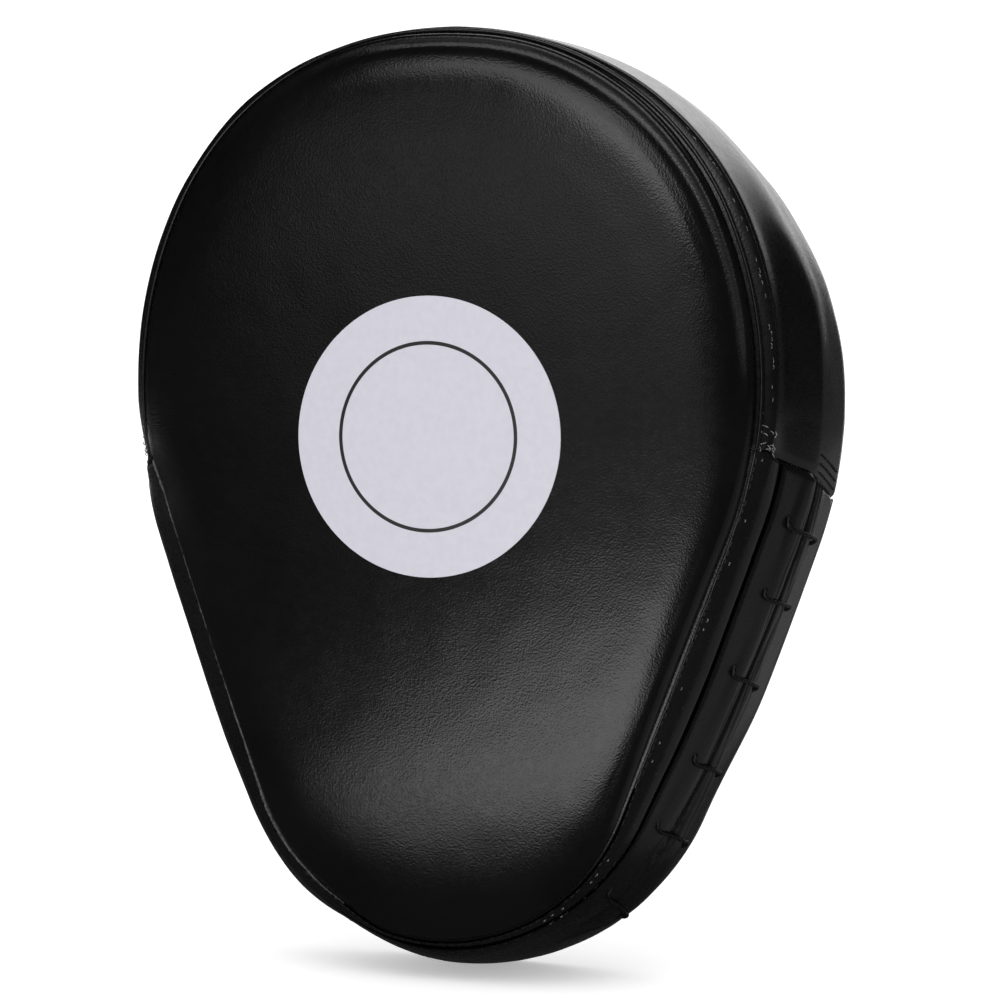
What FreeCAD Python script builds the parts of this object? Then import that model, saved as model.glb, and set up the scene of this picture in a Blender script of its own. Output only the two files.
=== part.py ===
"""Focus mitt: a boxing coach's target pad, worn on the right hand.

Frame: +X to the viewer's right when the striking face is towards them, +Y to the back (the wearer's
side), +Z towards the fingertips. The origin is the middle of the hand seat, on the palm panel.
Depths are measured backwards from the seam that joins the striking face to the side walls.
"""
import FreeCAD, Part
import math
import os

import Sketcher

from FreeCAD import Placement, Vector

# Each outline is a chain of tangent arcs: top, shoulder, side, straight run, bottom.
# Millimetres: depth, top, half width, height of the widest place, bottom, then the four radii.
OUTLINE_CELLS = ("depth", "top", "half_width", "side_height", "bottom",
                 "top_radius", "shoulder_radius", "side_radius", "bottom_radius")
OUTLINES = {
    "seam": (0, 124.5, 87.7, 30.6, -119.4, 139.4, 80.6, 112.7, 56.2),
    "groove": (7, 126.2, 92.9, 28.6, -125.0, 140, 82, 115, 61),
    "slit": (23, 127.0, 99.6, 25, -129.2, 140, 86, 112, 66),
    "rim": (44, 127.4, 100.8, 23, -130.4, 135, 88, 110, 67),
    "crest": (48, 127.2, 97.8, 23, -130.2, 135, 85, 110, 65),
    "back": (57, 121.0, 91.0, 23, -125.0, 135, 80, 105, 59),
}

SIZES = {
    # striking face and core
    "palm_depth": 28, "crown": 8, "roll_middle": 5, "roll_middle_inset": 1.6, "roll_front_inset": 6,
    "hide": 1.2, "fit": 0.1,
    "target_height": 16.8, "target_outer": 37.5, "target_line": 25.4, "bullseye": 24.6, "film": 0.25,
    "foam_inset": 3, "core_split": 15, "palm_hide": 1.1,
    # side walls: the groove, the laced slit and the slanting cross seams
    "wall": 1.4, "slit_gap": 0.5, "cross_seam_front": 14, "cross_seam_back": -6, "cut_reach": 240,
    # lacing over the slit, on the thumb side only
    "lace": 0.75, "lace_hole": 1.0, "lace_bend": 1.3, "lace_pitch": 22.3, "lace_start": 31.5,
    "lace_front": 18.7, "lace_back": 27.3, "lace_lift_front": 0.6, "lace_lift_back": 1.5,
    "lace_leg": 2.4, "lace_leg_front": 4.1, "laces": 6,
    # padded rim round the palm
    "rim_width": 25, "piping": 1.3,
    # palm ball
    "ball_height": -30, "ball_base": 31, "ball_rise": 12,
    # finger hood
    "hood_foam": 4.4, "hood_foam_inset": 6, "lining": 0.8, "mouth_radius": 190, "mouth_height": 24,
    "binding_cover": 7, "binding_lip": 1.6, "binding_half_width": 84,
    "web": 1.2, "web_pitch": 22, "web_bottom": 32, "web_top": 106,
    "eyelet_height": 88, "eyelet_flange": 5.4, "eyelet_barrel": 3.2, "eyelet_bore": 2.4,
    "eyelet_rim": 0.7, "eyelets": 4,
    # wrist strap: one long moving strap over a short fixed keeper
    "strap_height": -58, "strap_width": 38, "strap": 1.6, "patch": 1.0, "patch_gap": 0.35,
    "strap_crest": 32, "strap_seat": 17.8, "strap_hinge": 54, "strap_end": 58,
    "keeper_radius": 107.5, "keeper_start": 15, "keeper_end": 55, "tab_outer": 64, "tab": 1.6,
    "patch_inset": 3, "pull_length": 9, "pull_width": 22, "pull": 2.0, "pull_drop": 1.5,
}

CORNERS = ((0, 1, 1, 2), (1, 1, 2, 2), (2, 1, 3, 1), (3, 2, 4, 2),
           (4, 1, 5, 1), (5, 2, 6, 2), (6, 1, 7, 2), (7, 1, 0, 2))
START, END, CENTRE = 1, 2, 3
HORIZONTAL_AXIS, VERTICAL_AXIS = -1, -2

document = FreeCAD.newDocument("focus_mitt")
sheet = document.addObject("Spreadsheet::Sheet", "sizes")
exported = []


def fill_sheet():
    """Every driving size becomes a plain number in a cell with a word as its alias."""
    cells = dict(SIZES)
    for outline, values in OUTLINES.items():
        for cell, value in zip(OUTLINE_CELLS, values):
            cells[f"{outline}_{cell}"] = value
    for row, (alias, value) in enumerate(cells.items(), start=1):
        sheet.set(f"A{row}", alias)
        sheet.set(f"B{row}", str(value))
        sheet.setAlias(f"B{row}", alias)
    document.recompute()


def number(*terms):
    """Sum of cells; a leading minus takes a cell away."""
    return sum(-sheet.get(term[1:]) if term[0] == "-" else sheet.get(term) for term in terms)


def formula(*terms):
    """The same sum as an expression that reads the sheet."""
    signed = [f"- sizes.{term[1:]}" if term[0] == "-" else f"+ sizes.{term}" for term in terms]
    return " ".join(["0"] + signed)


def behind(*depth_terms):
    """Offset of a front-facing sketch plane that lies at a depth behind the seam."""
    flipped = [term[1:] if term[0] == "-" else "-" + term for term in depth_terms]
    return ("palm_depth", *flipped)


# ---------------------------------------------------------------- sketch and feature helpers

def new_body(label):
    body = document.addObject("PartDesign::Body", label)
    body.Label = label
    return body


def new_sketch(body, role, offset=()):
    """Sketch on one of the body's own origin planes, moved along the plane's normal."""
    plane = next(feature for feature in body.Origin.OriginFeatures if feature.Role == role)
    sketch = body.newObject("Sketcher::SketchObject", "Sketch")
    sketch.AttachmentSupport = [(plane, "")]
    sketch.MapMode = "FlatFace"
    if offset:
        sketch.setExpression("AttachmentOffset.Base.z", formula(*offset))
    return sketch


def dimension(sketch, name, terms, *constraint):
    """Named dimension bound to the sheet."""
    index = sketch.addConstraint(Sketcher.Constraint(*constraint, number(*terms)))
    sketch.renameConstraint(index, name)
    sketch.setExpression(f"Constraints.{name}", formula(*terms))


def place_point(sketch, name, curve, end, across, up):
    """Fix one point of a curve by its two coordinates, each a sum of cells or empty for an axis."""
    if across:
        dimension(sketch, f"{name}_across", across, "DistanceX", curve, end)
    else:
        sketch.addConstraint(Sketcher.Constraint("PointOnObject", curve, end, VERTICAL_AXIS))
    if up:
        dimension(sketch, f"{name}_up", up, "DistanceY", curve, end)
    else:
        sketch.addConstraint(Sketcher.Constraint("PointOnObject", curve, end, HORIZONTAL_AXIS))


def polygon(sketch, corners):
    """Closed polygon; each corner is a pair of cell sums."""
    points = [Vector(number(*across), number(*up), 0) for across, up in corners]
    count = len(points)
    for index in range(count):
        sketch.addGeometry(Part.LineSegment(points[index], points[(index + 1) % count]))
    for index, (across, up) in enumerate(corners):
        sketch.addConstraint(Sketcher.Constraint("Coincident", index - 1 if index else count - 1, END,
                                                 index, START))
        place_point(sketch, f"corner_{index}", index, START, across, up)
    return sketch


def circle(sketch, name, radius, up):
    """Circle centred on the sketch's vertical axis."""
    curve = sketch.addGeometry(Part.Circle(Vector(0, number(*up), 0), Vector(0, 0, 1), number(*radius)))
    place_point(sketch, name, curve, CENTRE, (), up)
    dimension(sketch, f"{name}_radius", radius, "Radius", curve)


def arc(centre, radius, start, end):
    return Part.ArcOfCircle(Part.Circle(centre, Vector(0, 0, 1), radius), start, end)


def polar(angle, radius):
    return Vector(radius * math.cos(angle), radius * math.sin(angle), 0)


def outline_layout(outline):
    """Centres and radii of an outline's arcs, and the three angles at which they meet."""
    size = {cell: number(f"{outline}_{cell}") for cell in OUTLINE_CELLS}
    top = Vector(0, size["top"] - size["top_radius"], 0)
    side = Vector(size["half_width"] - size["side_radius"], size["side_height"], 0)
    bottom = Vector(0, size["bottom"] + size["bottom_radius"], 0)
    reach_top = size["top_radius"] - size["shoulder_radius"]
    reach_side = size["side_radius"] - size["shoulder_radius"]
    apart = side - top
    along = (reach_top ** 2 - reach_side ** 2 + apart.Length ** 2) / (2 * apart.Length)
    across = math.sqrt(reach_top ** 2 - along ** 2)
    unit = apart / apart.Length
    normal = Vector(-unit.y, unit.x, 0)
    if normal.x < 0:
        normal = normal * -1
    shoulder = top + unit * along + normal * across
    fall = bottom - side
    slant = math.acos((size["side_radius"] - size["bottom_radius"]) / fall.Length)
    line_angle = math.atan2(fall.y, fall.x) + slant
    top_angle = math.atan2(shoulder.y - top.y, shoulder.x - top.x)
    side_angle = math.atan2(shoulder.y - side.y, shoulder.x - side.x)
    return size, top, shoulder, side, bottom, top_angle, side_angle, line_angle


def outline_sketch(body, outline, inset, depth, sketch=None):
    """The mitt's closed outline, drawn inwards by an inset and placed at a depth."""
    size, top, shoulder, side, bottom, top_angle, side_angle, line_angle = outline_layout(outline)
    sketch = sketch or new_sketch(body, "XZ_Plane", behind(*depth))
    inward = number(*inset)
    radius = {name: size[f"{name}_radius"] - inward for name in ("top", "shoulder", "side", "bottom")}
    half_turn = math.pi
    left_shoulder = Vector(-shoulder.x, shoulder.y, 0)
    left_side = Vector(-side.x, side.y, 0)
    first = sketch.addGeometry(arc(top, radius["top"], top_angle, half_turn - top_angle))
    sketch.addGeometry(arc(shoulder, radius["shoulder"], side_angle, top_angle))
    sketch.addGeometry(arc(side, radius["side"], line_angle, side_angle))
    sketch.addGeometry(Part.LineSegment(side + polar(line_angle, radius["side"]),
                                        bottom + polar(line_angle, radius["bottom"])))
    sketch.addGeometry(arc(bottom, radius["bottom"], half_turn - line_angle, 2 * half_turn + line_angle))
    sketch.addGeometry(Part.LineSegment(bottom + polar(half_turn - line_angle, radius["bottom"]),
                                        left_side + polar(half_turn - line_angle, radius["side"])))
    sketch.addGeometry(arc(left_side, radius["side"], half_turn - side_angle, half_turn - line_angle))
    sketch.addGeometry(arc(left_shoulder, radius["shoulder"], half_turn - top_angle,
                           half_turn - side_angle))
    for curve, end, other, other_end in CORNERS:
        sketch.addConstraint(Sketcher.Constraint("Tangent", first + curve, end, first + other,
                                                 other_end))
    tag = f"{outline}_{first}"
    outward = [term[1:] if term[0] == "-" else "-" + term for term in inset]
    for name, curve in (("top", 0), ("shoulder", 1), ("side", 2), ("bottom", 4)):
        dimension(sketch, f"{tag}_{name}_radius", (f"{outline}_{name}_radius", *outward),
                  "Radius", first + curve)
    place_point(sketch, f"{tag}_top_centre", first, CENTRE, (),
                (f"{outline}_top", f"-{outline}_top_radius"))
    place_point(sketch, f"{tag}_bottom_centre", first + 4, CENTRE, (),
                (f"{outline}_bottom", f"{outline}_bottom_radius"))
    place_point(sketch, f"{tag}_side_centre", first + 2, CENTRE,
                (f"{outline}_half_width", f"-{outline}_side_radius"), (f"{outline}_side_height",))
    sketch.addConstraint(Sketcher.Constraint("Equal", first + 1, first + 7))
    sketch.addConstraint(Sketcher.Constraint("Equal", first + 2, first + 6))
    sketch.addConstraint(Sketcher.Constraint("Symmetric", first + 2, CENTRE, first + 6, CENTRE,
                                             VERTICAL_AXIS))
    return sketch


def finish_feature(body, feature):
    body.Tip = feature
    document.recompute()
    return feature


def pad(body, sketch, *length, backwards=True):
    """Pad; a front-facing sketch's normal points to the front, so backwards is reversed."""
    feature = body.newObject("PartDesign::Pad", "Pad")
    feature.Profile = sketch
    feature.setExpression("Length", formula(*length))
    feature.Reversed = backwards
    return finish_feature(body, feature)


def remove(body, feature):
    """Finish a feature that takes material away, and make sure that it did."""
    before = body.Shape.Volume
    finish_feature(body, feature)
    if body.Shape.Volume > before - 1e-3:
        raise RuntimeError(f"{body.Label}: {feature.Name} removed nothing")


def pocket(body, sketch, *length):
    """Pocket towards the back of a front-facing sketch; with no length, both ways through all."""
    document.recompute()
    feature = body.newObject("PartDesign::Pocket", "Pocket")
    feature.Profile = sketch
    if length:
        feature.setExpression("Length", formula(*length))
    else:
        feature.Type = "ThroughAll"
        feature.SideType = "Symmetric"
    remove(body, feature)


def loft(body, kind, course):
    """Ruled loft through outlines, each with a depth and an inset; kind is Additive or Subtractive."""
    sketches = [outline_sketch(body, outline, inset, depth) for outline, depth, inset in course]
    feature = body.newObject(f"PartDesign::{kind}Loft", "Loft")
    feature.Profile = sketches[0]
    feature.Sections = sketches[1:]
    feature.Ruled = True
    if kind == "Subtractive":
        remove(body, feature)
    else:
        finish_feature(body, feature)


def course_through(*outlines, inset=()):
    """Stations at the outlines' own depths, all drawn inwards alike."""
    return [(outline, (f"{outline}_depth",), inset) for outline in outlines]


def thinned(course, *inset):
    """The same course drawn further inwards."""
    return [(outline, depth, (*trim, *inset)) for outline, depth, trim in course]


def cut_side(body, keep):
    """Cut along the slanting cross seams; keep is the upper or the lower side of the cut."""
    sketch = new_sketch(body, "YZ_Plane")
    far = ("-cut_reach",) if keep == "upper" else ("cut_reach",)
    front = ("-palm_depth", "-crest_depth")
    back = ("crest_depth",)
    high = ("cross_seam_front",)
    low = ("cross_seam_back",)
    polygon(sketch, [(front, high), (("-palm_depth",), high), (("rim_depth", "-palm_depth"), low),
                     (back, low), (back, far), (front, far)])
    pocket(body, sketch)


def cut_depth(body, depth, keep):
    """Cut square across at a depth; keep is the front or the back side of the cut."""
    sketch = new_sketch(body, "YZ_Plane")
    face = (*depth, "-palm_depth")
    far = ("cut_reach",) if keep == "front" else ("-cut_reach",)
    polygon(sketch, [(face, ("-cut_reach",)), (far, ("-cut_reach",)), (far, ("cut_reach",)),
                     (face, ("cut_reach",))])
    pocket(body, sketch)


def keep_part(item):
    exported.append(item)
    return item


# ---------------------------------------------------------------- striking face and core

def rolled_face(front, *trim):
    """Course of the face's crown: upright at the seam, then rolled over to the flat front."""
    return [("seam", (), trim), ("seam", ("-roll_middle",), ("roll_middle_inset", *trim)),
            ("seam", front, ("roll_front_inset", *trim))]


def face_panel():
    """Crowned hide over the striking face, rolled over at its rim and open at the back."""
    body = new_body("face_panel")
    loft(body, "Additive", rolled_face(("-crown",)))
    loft(body, "Subtractive", rolled_face(("-crown", "hide"), "hide"))
    return keep_part(body)


def target_film(label, outer, inner=()):
    """Thin printed ring or disc on the crown of the face."""
    body = new_body(label)
    sketch = new_sketch(body, "XZ_Plane", behind("-crown"))
    circle(sketch, "outer", outer, ("target_height",))
    if inner:
        circle(sketch, "inner", inner, ("target_height",))
    pad(body, sketch, "film", backwards=False)
    return keep_part(body)


def strike_foam():
    """Soft foam that fills the rolled face panel."""
    body = new_body("strike_foam")
    loft(body, "Additive", rolled_face(("-crown", "hide", "fit"), "hide", "fit"))
    return keep_part(body)


def foam_layer(label, front, back):
    """One glued layer of the closed-cell core, cut to fill the flaring side walls."""
    body = new_body(label)
    loft(body, "Additive", course_through("seam", "groove", "slit", "rim", inset=("foam_inset",)))
    cut_depth(body, front, "back")
    cut_depth(body, back, "front")
    return keep_part(body)


def palm_panel():
    """Suede-like panel under the hand, from wall to wall."""
    body = new_body("palm_panel")
    pad(body, outline_sketch(body, "slit", ("foam_inset",), ("palm_depth", "-palm_hide")), "palm_hide")
    return keep_part(body)


# ---------------------------------------------------------------- side walls

def side_wall(label, course, keep):
    """Tubular wall through a course, hollowed by the wall's thickness and cut at the cross seams."""
    body = new_body(label)
    loft(body, "Additive", course)
    loft(body, "Subtractive", thinned(course, "wall"))
    cut_side(body, keep)
    return body


def front_wall_strip():
    """Smooth sloping strip that runs from the face seam out to the groove."""
    course = [("seam", ("seam_depth", "fit"), ()), ("groove", ("groove_depth",), ())]
    return keep_part(side_wall("front_wall_strip", course, "lower"))


def outline_frame(outline, distance):
    """Place and outward normal on the thumb side of an outline, a distance down from its widest."""
    size, _, _, side, bottom, _, _, line_angle = outline_layout(outline)
    side_run = -line_angle * size["side_radius"]
    start = side + polar(line_angle, size["side_radius"])
    end = bottom + polar(line_angle, size["bottom_radius"])
    straight = (end - start).Length
    if distance < side_run:
        angle = -distance / size["side_radius"]
        return side + polar(angle, size["side_radius"]), polar(angle, 1)
    if distance < side_run + straight:
        return start + (end - start) * ((distance - side_run) / straight), polar(line_angle, 1)
    angle = line_angle - (distance - side_run - straight) / size["bottom_radius"]
    return bottom + polar(angle, size["bottom_radius"]), polar(angle, 1)


def lace_places():
    """Base point and outward normal of each lacing stitch, in the mitt's frame."""
    for index in range(int(number("laces"))):
        place, normal = outline_frame("slit", number("lace_start") + index * number("lace_pitch"))
        yield Vector(place.x, -number("palm_depth"), place.y), Vector(normal.x, 0, normal.y)


def lace_point(base, normal, depth, lift):
    return base + Vector(0, depth, 0) + normal * lift


def lace_holes():
    """Drills for both legs of every stitch; a tool, not a part."""
    drills = []
    for base, normal in lace_places():
        for depth in (number("lace_front"), number("lace_back")):
            foot = lace_point(base, normal, depth, -number("lace_leg_front") - 1)
            drills.append(Part.makeCylinder(number("lace_hole"), number("lace_leg_front") + 4, foot,
                                            normal))
    tool = document.addObject("Part::Feature", "lace_holes")
    tool.Shape = Part.makeCompound(drills)
    return tool


def drilled(label, blank, tool):
    """A wall with the lacing holes cut through it."""
    blank.Label = label + "_blank"
    part = document.addObject("Part::Cut", label)
    part.Label = label
    part.Base = blank
    part.Tool = tool
    document.recompute()
    if part.Shape.Volume > blank.Shape.Volume - 1e-3:
        raise RuntimeError(f"{label}: the lacing holes miss the wall")
    return keep_part(part)


def side_bands(tool):
    """The two edges of the laced band, in front of and behind the slit."""
    front = [("groove", ("groove_depth", "fit"), ()), ("slit", ("slit_depth", "-slit_gap"), ())]
    rear = [("slit", ("slit_depth", "slit_gap"), ()), ("rim", ("rim_depth",), ())]
    drilled("side_band_front", side_wall("front_blank", front, "lower"), tool)
    drilled("side_band_rear", side_wall("rear_blank", rear, "lower"), tool)


def bent_wire(points, bend):
    """Straight runs joined by tangent arcs of one radius."""
    edges = []
    start = points[0]
    for before, corner, after in zip(points, points[1:], points[2:]):
        incoming = (corner - before).normalize()
        outgoing = (after - corner).normalize()
        setback = bend * math.tan(incoming.getAngle(outgoing) / 2)
        enter = corner - incoming * setback
        leave = corner + outgoing * setback
        inward = (outgoing - incoming).normalize()
        half = (math.pi - incoming.getAngle(outgoing)) / 2
        middle = corner + inward * (bend / math.sin(half) - bend)
        edges.append(Part.LineSegment(start, enter).toShape())
        edges.append(Part.Arc(enter, middle, leave).toShape())
        start = leave
    edges.append(Part.LineSegment(start, points[-1]).toShape())
    return Part.Wire(edges)


def lacing_cord():
    """Stitches of round cord that pull the slit shut, each bent down through its two holes."""
    stitches = []
    for base, normal in lace_places():
        points = [lace_point(base, normal, number("lace_front"), -number("lace_leg_front")),
                  lace_point(base, normal, number("lace_front"), number("lace_lift_front")),
                  lace_point(base, normal, number("lace_back"), number("lace_lift_back")),
                  lace_point(base, normal, number("lace_back"), -number("lace_leg"))]
        section = Part.Wire([Part.makeCircle(number("lace"), points[0], normal)])
        stitches.append(bent_wire(points, number("lace_bend")).makePipeShell([section], True, False))
    part = document.addObject("Part::Feature", "lacing_cord")
    part.Label = "lacing_cord"
    part.Shape = Part.makeCompound(stitches)
    return keep_part(part)


# ---------------------------------------------------------------- rim and palm

def rim_foam():
    """Padded rim that stands round the palm from one cross seam to the other."""
    body = new_body("rim_foam")
    loft(body, "Additive", [("slit", ("slit_depth",), ("foam_inset",)),
                            ("rim", ("rim_depth", "-hide", "-fit"), ("foam_inset",))])
    cut_depth(body, ("palm_depth", "fit"), "back")
    pocket(body, outline_sketch(body, "rim", ("rim_width",), ("palm_depth",)), "rim_depth")
    cut_side(body, "lower")
    return keep_part(body)


def rim_cover():
    """Hide over the back and the inner wall of the padded rim."""
    body = new_body("rim_cover")
    pad(body, outline_sketch(body, "rim", ("wall", "fit"), ("rim_depth", "-hide")), "hide")
    pad(body, outline_sketch(body, "rim", ("rim_width", "fit"), ("palm_depth", "fit")),
        "rim_depth", "-palm_depth", "-fit")
    pocket(body, outline_sketch(body, "rim", ("rim_width", "fit", "hide"), ("palm_depth",)),
           "rim_depth")
    cut_side(body, "lower")
    return keep_part(body)


def rim_piping():
    """Bound bead along the outer back edge of the rim."""
    body = new_body("rim_piping")
    spine = outline_sketch(body, "rim", ("piping",), ("rim_depth", "piping", "fit"))
    bead = new_sketch(body, "YZ_Plane")
    place = bead.addGeometry(Part.Circle(Vector(number("rim_depth", "piping", "fit", "-palm_depth"),
                                                number("rim_bottom", "piping"), 0),
                                         Vector(0, 0, 1), number("piping")))
    place_point(bead, "bead", place, CENTRE, ("rim_depth", "piping", "fit", "-palm_depth"),
                ("rim_bottom", "piping"))
    dimension(bead, "bead_radius", ("piping",), "Radius", place)
    document.recompute()
    pipe = body.newObject("PartDesign::AdditivePipe", "Bead")
    pipe.Profile = bead
    pipe.Spine = (spine, [])
    finish_feature(body, pipe)
    cut_side(body, "lower")
    return keep_part(body)


def dome(label, inset, hollow=()):
    """Palm ball: a low cap turned about the mitt's depth axis, with an optional hollow."""
    body = new_body(label)
    body.setExpression("Placement.Base.z", formula("ball_height"))
    cap(body, inset, "Revolution")
    if hollow:
        cap(body, hollow, "Groove")
    return keep_part(body)


def cap(body, inset, kind):
    """Turn a quarter section of a cap drawn inwards by an inset."""
    base = number("ball_base", *inset)
    rise = number("ball_rise", *inset)
    radius = (base ** 2 + rise ** 2) / (2 * rise)
    sketch = new_sketch(body, "XY_Plane")
    low = ("fit",)
    foot = number(*low)
    centre = Vector(0, foot + rise - radius, 0)
    start = math.asin((radius - rise) / radius)
    sketch.addGeometry(Part.LineSegment(Vector(0, foot, 0), Vector(base, foot, 0)))
    sketch.addGeometry(arc(centre, radius, start, math.pi / 2))
    sketch.addGeometry(Part.LineSegment(Vector(0, foot + rise, 0), Vector(0, foot, 0)))
    for first, first_end, second, second_end in ((0, END, 1, START), (1, END, 2, START),
                                                  (2, END, 0, START)):
        sketch.addConstraint(Sketcher.Constraint("Coincident", first, first_end, second, second_end))
    place_point(sketch, "foot", 0, START, (), low)
    place_point(sketch, "edge", 0, END, ("ball_base", *inset), low)
    place_point(sketch, "crest", 1, END, (), (*low, "ball_rise", *inset))
    sketch.addConstraint(Sketcher.Constraint("PointOnObject", 1, CENTRE, VERTICAL_AXIS))
    document.recompute()
    feature = body.newObject(f"PartDesign::{kind}", kind)
    feature.Profile = sketch
    feature.ReferenceAxis = (sketch, ["V_Axis"])
    feature.Angle = 360
    if kind == "Groove":
        remove(body, feature)
    else:
        finish_feature(body, feature)


# ---------------------------------------------------------------- finger hood

def hood_gusset():
    """Side wall of the hood, from the face seam over the top to the back panel."""
    course = [("seam", ("seam_depth", "fit"), ()), *course_through("groove", "slit", "rim", "crest")]
    return keep_part(side_wall("hood_gusset", course, "upper"))


def cut_mouth(body, *lift):
    """Scoop the hood's mouth along a shallow arch."""
    sketch = new_sketch(body, "XZ_Plane", behind("-crest_depth"))
    circle(sketch, "mouth", ("mouth_radius", *lift), ("mouth_height", "-mouth_radius"))
    pocket(body, sketch)


def hood_layer(label, outer_inset, depth, thickness):
    """Flat layer of the hood's back, cut to the arch of its mouth."""
    body = new_body(label)
    pad(body, outline_sketch(body, "crest", outer_inset, depth), *thickness)
    cut_mouth(body)
    cut_vents(body)
    return keep_part(body)


def cut_vents(body):
    """One hole for each eyelet, over the four finger stalls."""
    sketch = new_sketch(body, "XZ_Plane", behind("-crest_depth"))
    hole = sketch.addGeometry(Part.Circle(Vector(-1.5 * number("web_pitch"), number("eyelet_height"), 0),
                                          Vector(0, 0, 1), number("eyelet_barrel", "fit")))
    sketch.addConstraint(Sketcher.Constraint("DistanceX", hole, CENTRE, -1.5 * number("web_pitch")))
    sketch.renameConstraint(0, "first_vent")
    sketch.setExpression("Constraints.first_vent", "-1.5 * sizes.web_pitch")
    dimension(sketch, "vent_height", ("eyelet_height",), "DistanceY", hole, CENTRE)
    dimension(sketch, "vent_radius", ("eyelet_barrel", "fit"), "Radius", hole)
    pocket(body, sketch)
    vent = body.Tip
    repeat(body, vent)


def repeat(body, feature):
    """Repeat a feature across the mitt, one finger stall apart."""
    before = body.Shape.Volume
    pattern = body.newObject("PartDesign::LinearPattern", "Row")
    pattern.Originals = [feature]
    across = next(item for item in body.Origin.OriginFeatures if item.Role == "X_Axis")
    pattern.Direction = (across, [""])
    pattern.Mode = "Spacing"
    pattern.setExpression("Offset", formula("web_pitch"))
    pattern.Occurrences = int(number("eyelets"))
    finish_feature(body, pattern)
    if abs(body.Shape.Volume - before) < 1e-3:
        raise RuntimeError(f"{body.Label}: the pattern changed nothing")


def hood_back_panel():
    """Dished outer hide of the hood's back."""
    body = new_body("hood_back_panel")
    loft(body, "Additive", [("crest", ("crest_depth", "fit"), ()), ("back", ("back_depth",), ())])
    loft(body, "Subtractive", [("crest", ("crest_depth", "fit"), ("wall",)),
                               ("back", ("back_depth", "-hide"), ("wall",))])
    cut_mouth(body)
    cut_vents(body)
    return keep_part(body)


def hood_foam():
    """Foam sheet that pads the knuckle side of the hood."""
    body = new_body("hood_foam")
    back = ("back_depth", "-hide", "-fit")
    loft(body, "Additive", [("crest", (*back, "-hood_foam"), ("hood_foam_inset",)),
                            ("back", back, ("hood_foam_inset",))])
    cut_mouth(body)
    cut_vents(body)
    return keep_part(body)


def hood_binding():
    """Binding folded round the three layers at the hood's mouth."""
    body = new_body("hood_binding")
    inside = ("back_depth", "-hide", "-fit", "-hood_foam", "-fit", "-lining")
    front = (*inside, "-fit", "-hide")
    pad(body, mouth_band(body, front, ("binding_cover",), ("-binding_lip",)),
        "hide", "fit", "lining", "fit", "hood_foam", "fit", "hide", "fit", "hide")
    pocket(body, mouth_band(body, (*inside, "-fit"), ("binding_cover", "hide"), ("-fit",)),
           "fit", "lining", "fit", "hood_foam", "fit", "hide", "fit")
    return keep_part(body)


def mouth_band(body, depth, above, below):
    """Arched band along the mouth, between two concentric arcs and two upright ends."""
    sketch = new_sketch(body, "XZ_Plane", behind(*depth))
    centre = Vector(0, number("mouth_height", "-mouth_radius"), 0)
    half = number("binding_half_width")
    radii = (number("mouth_radius", *below), number("mouth_radius", *above))
    ends = [math.acos(half / radius) for radius in radii]
    for radius, end in zip(radii, ends):
        sketch.addGeometry(arc(centre, radius, end, math.pi - end))
    for side in (0, math.pi):
        corner = [centre + polar(abs(side - end), radius) for radius, end in zip(radii, ends)]
        sketch.addGeometry(Part.LineSegment(*corner))
    for first, first_end, second, second_end in ((2, START, 0, START), (2, END, 1, START),
                                                  (3, START, 0, END), (3, END, 1, END)):
        sketch.addConstraint(Sketcher.Constraint("Coincident", first, first_end, second, second_end))
    place_point(sketch, "centre", 0, CENTRE, (), ("mouth_height", "-mouth_radius"))
    sketch.addConstraint(Sketcher.Constraint("Coincident", 0, CENTRE, 1, CENTRE))
    dimension(sketch, "lower_radius", ("mouth_radius", *below), "Radius", 0)
    dimension(sketch, "upper_radius", ("mouth_radius", *above), "Radius", 1)
    for line, sign in ((2, ""), (3, "-")):
        sketch.addConstraint(Sketcher.Constraint("Vertical", line))
        dimension(sketch, f"end_{line}", (sign + "binding_half_width",), "DistanceX", line, START)
    return sketch


def finger_web(index):
    """Upright web that parts two finger stalls; the last one parts off the thumb."""
    body = new_body(("little_outer_web", "ring_little_web", "middle_ring_web", "index_middle_web",
                     "thumb_web")[index])
    sketch = new_sketch(body, "YZ_Plane", ())
    back = ("back_depth", "-hide", "-hood_foam", "-lining", "-fit", "-fit", "-fit", "-palm_depth")
    polygon(sketch, [(("fit",), ("web_bottom",)), (back, ("web_bottom",)), (back, ("web_top",)),
                     (("fit",), ("web_top",))])
    feature = pad(body, sketch, "web", backwards=False)
    feature.SideType = "Symmetric"
    body.setExpression("Placement.Base.x", f"{index - 2} * sizes.web_pitch")
    document.recompute()
    return keep_part(body)


def vent_eyelets():
    """Row of two-part metal eyelets, closed over the layers of the hood's back."""
    body = new_body("vent_eyelets")
    body.AllowCompound = True
    body.setExpression("Placement.Base.z", formula("eyelet_height"))
    body.setExpression("Placement.Base.x", "-1.5 * sizes.web_pitch")
    inner = ("back_depth", "-palm_depth", "-hide", "-hood_foam", "-lining", "-fit", "-fit", "-fit")
    outer = ("back_depth", "-palm_depth", "fit")
    sketch = new_sketch(body, "XY_Plane")
    polygon(sketch, [(("eyelet_bore",), (*inner, "-eyelet_rim")),
                     (("eyelet_flange",), (*inner, "-eyelet_rim")),
                     (("eyelet_flange",), inner), (("eyelet_barrel",), inner),
                     (("eyelet_barrel",), outer), (("eyelet_flange",), outer),
                     (("eyelet_flange",), (*outer, "eyelet_rim")),
                     (("eyelet_bore",), (*outer, "eyelet_rim"))])
    document.recompute()
    turned = body.newObject("PartDesign::Revolution", "Eyelet")
    turned.Profile = sketch
    turned.ReferenceAxis = (sketch, ["V_Axis"])
    turned.Angle = 360
    finish_feature(body, turned)
    repeat(body, turned)
    return keep_part(body)


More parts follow.
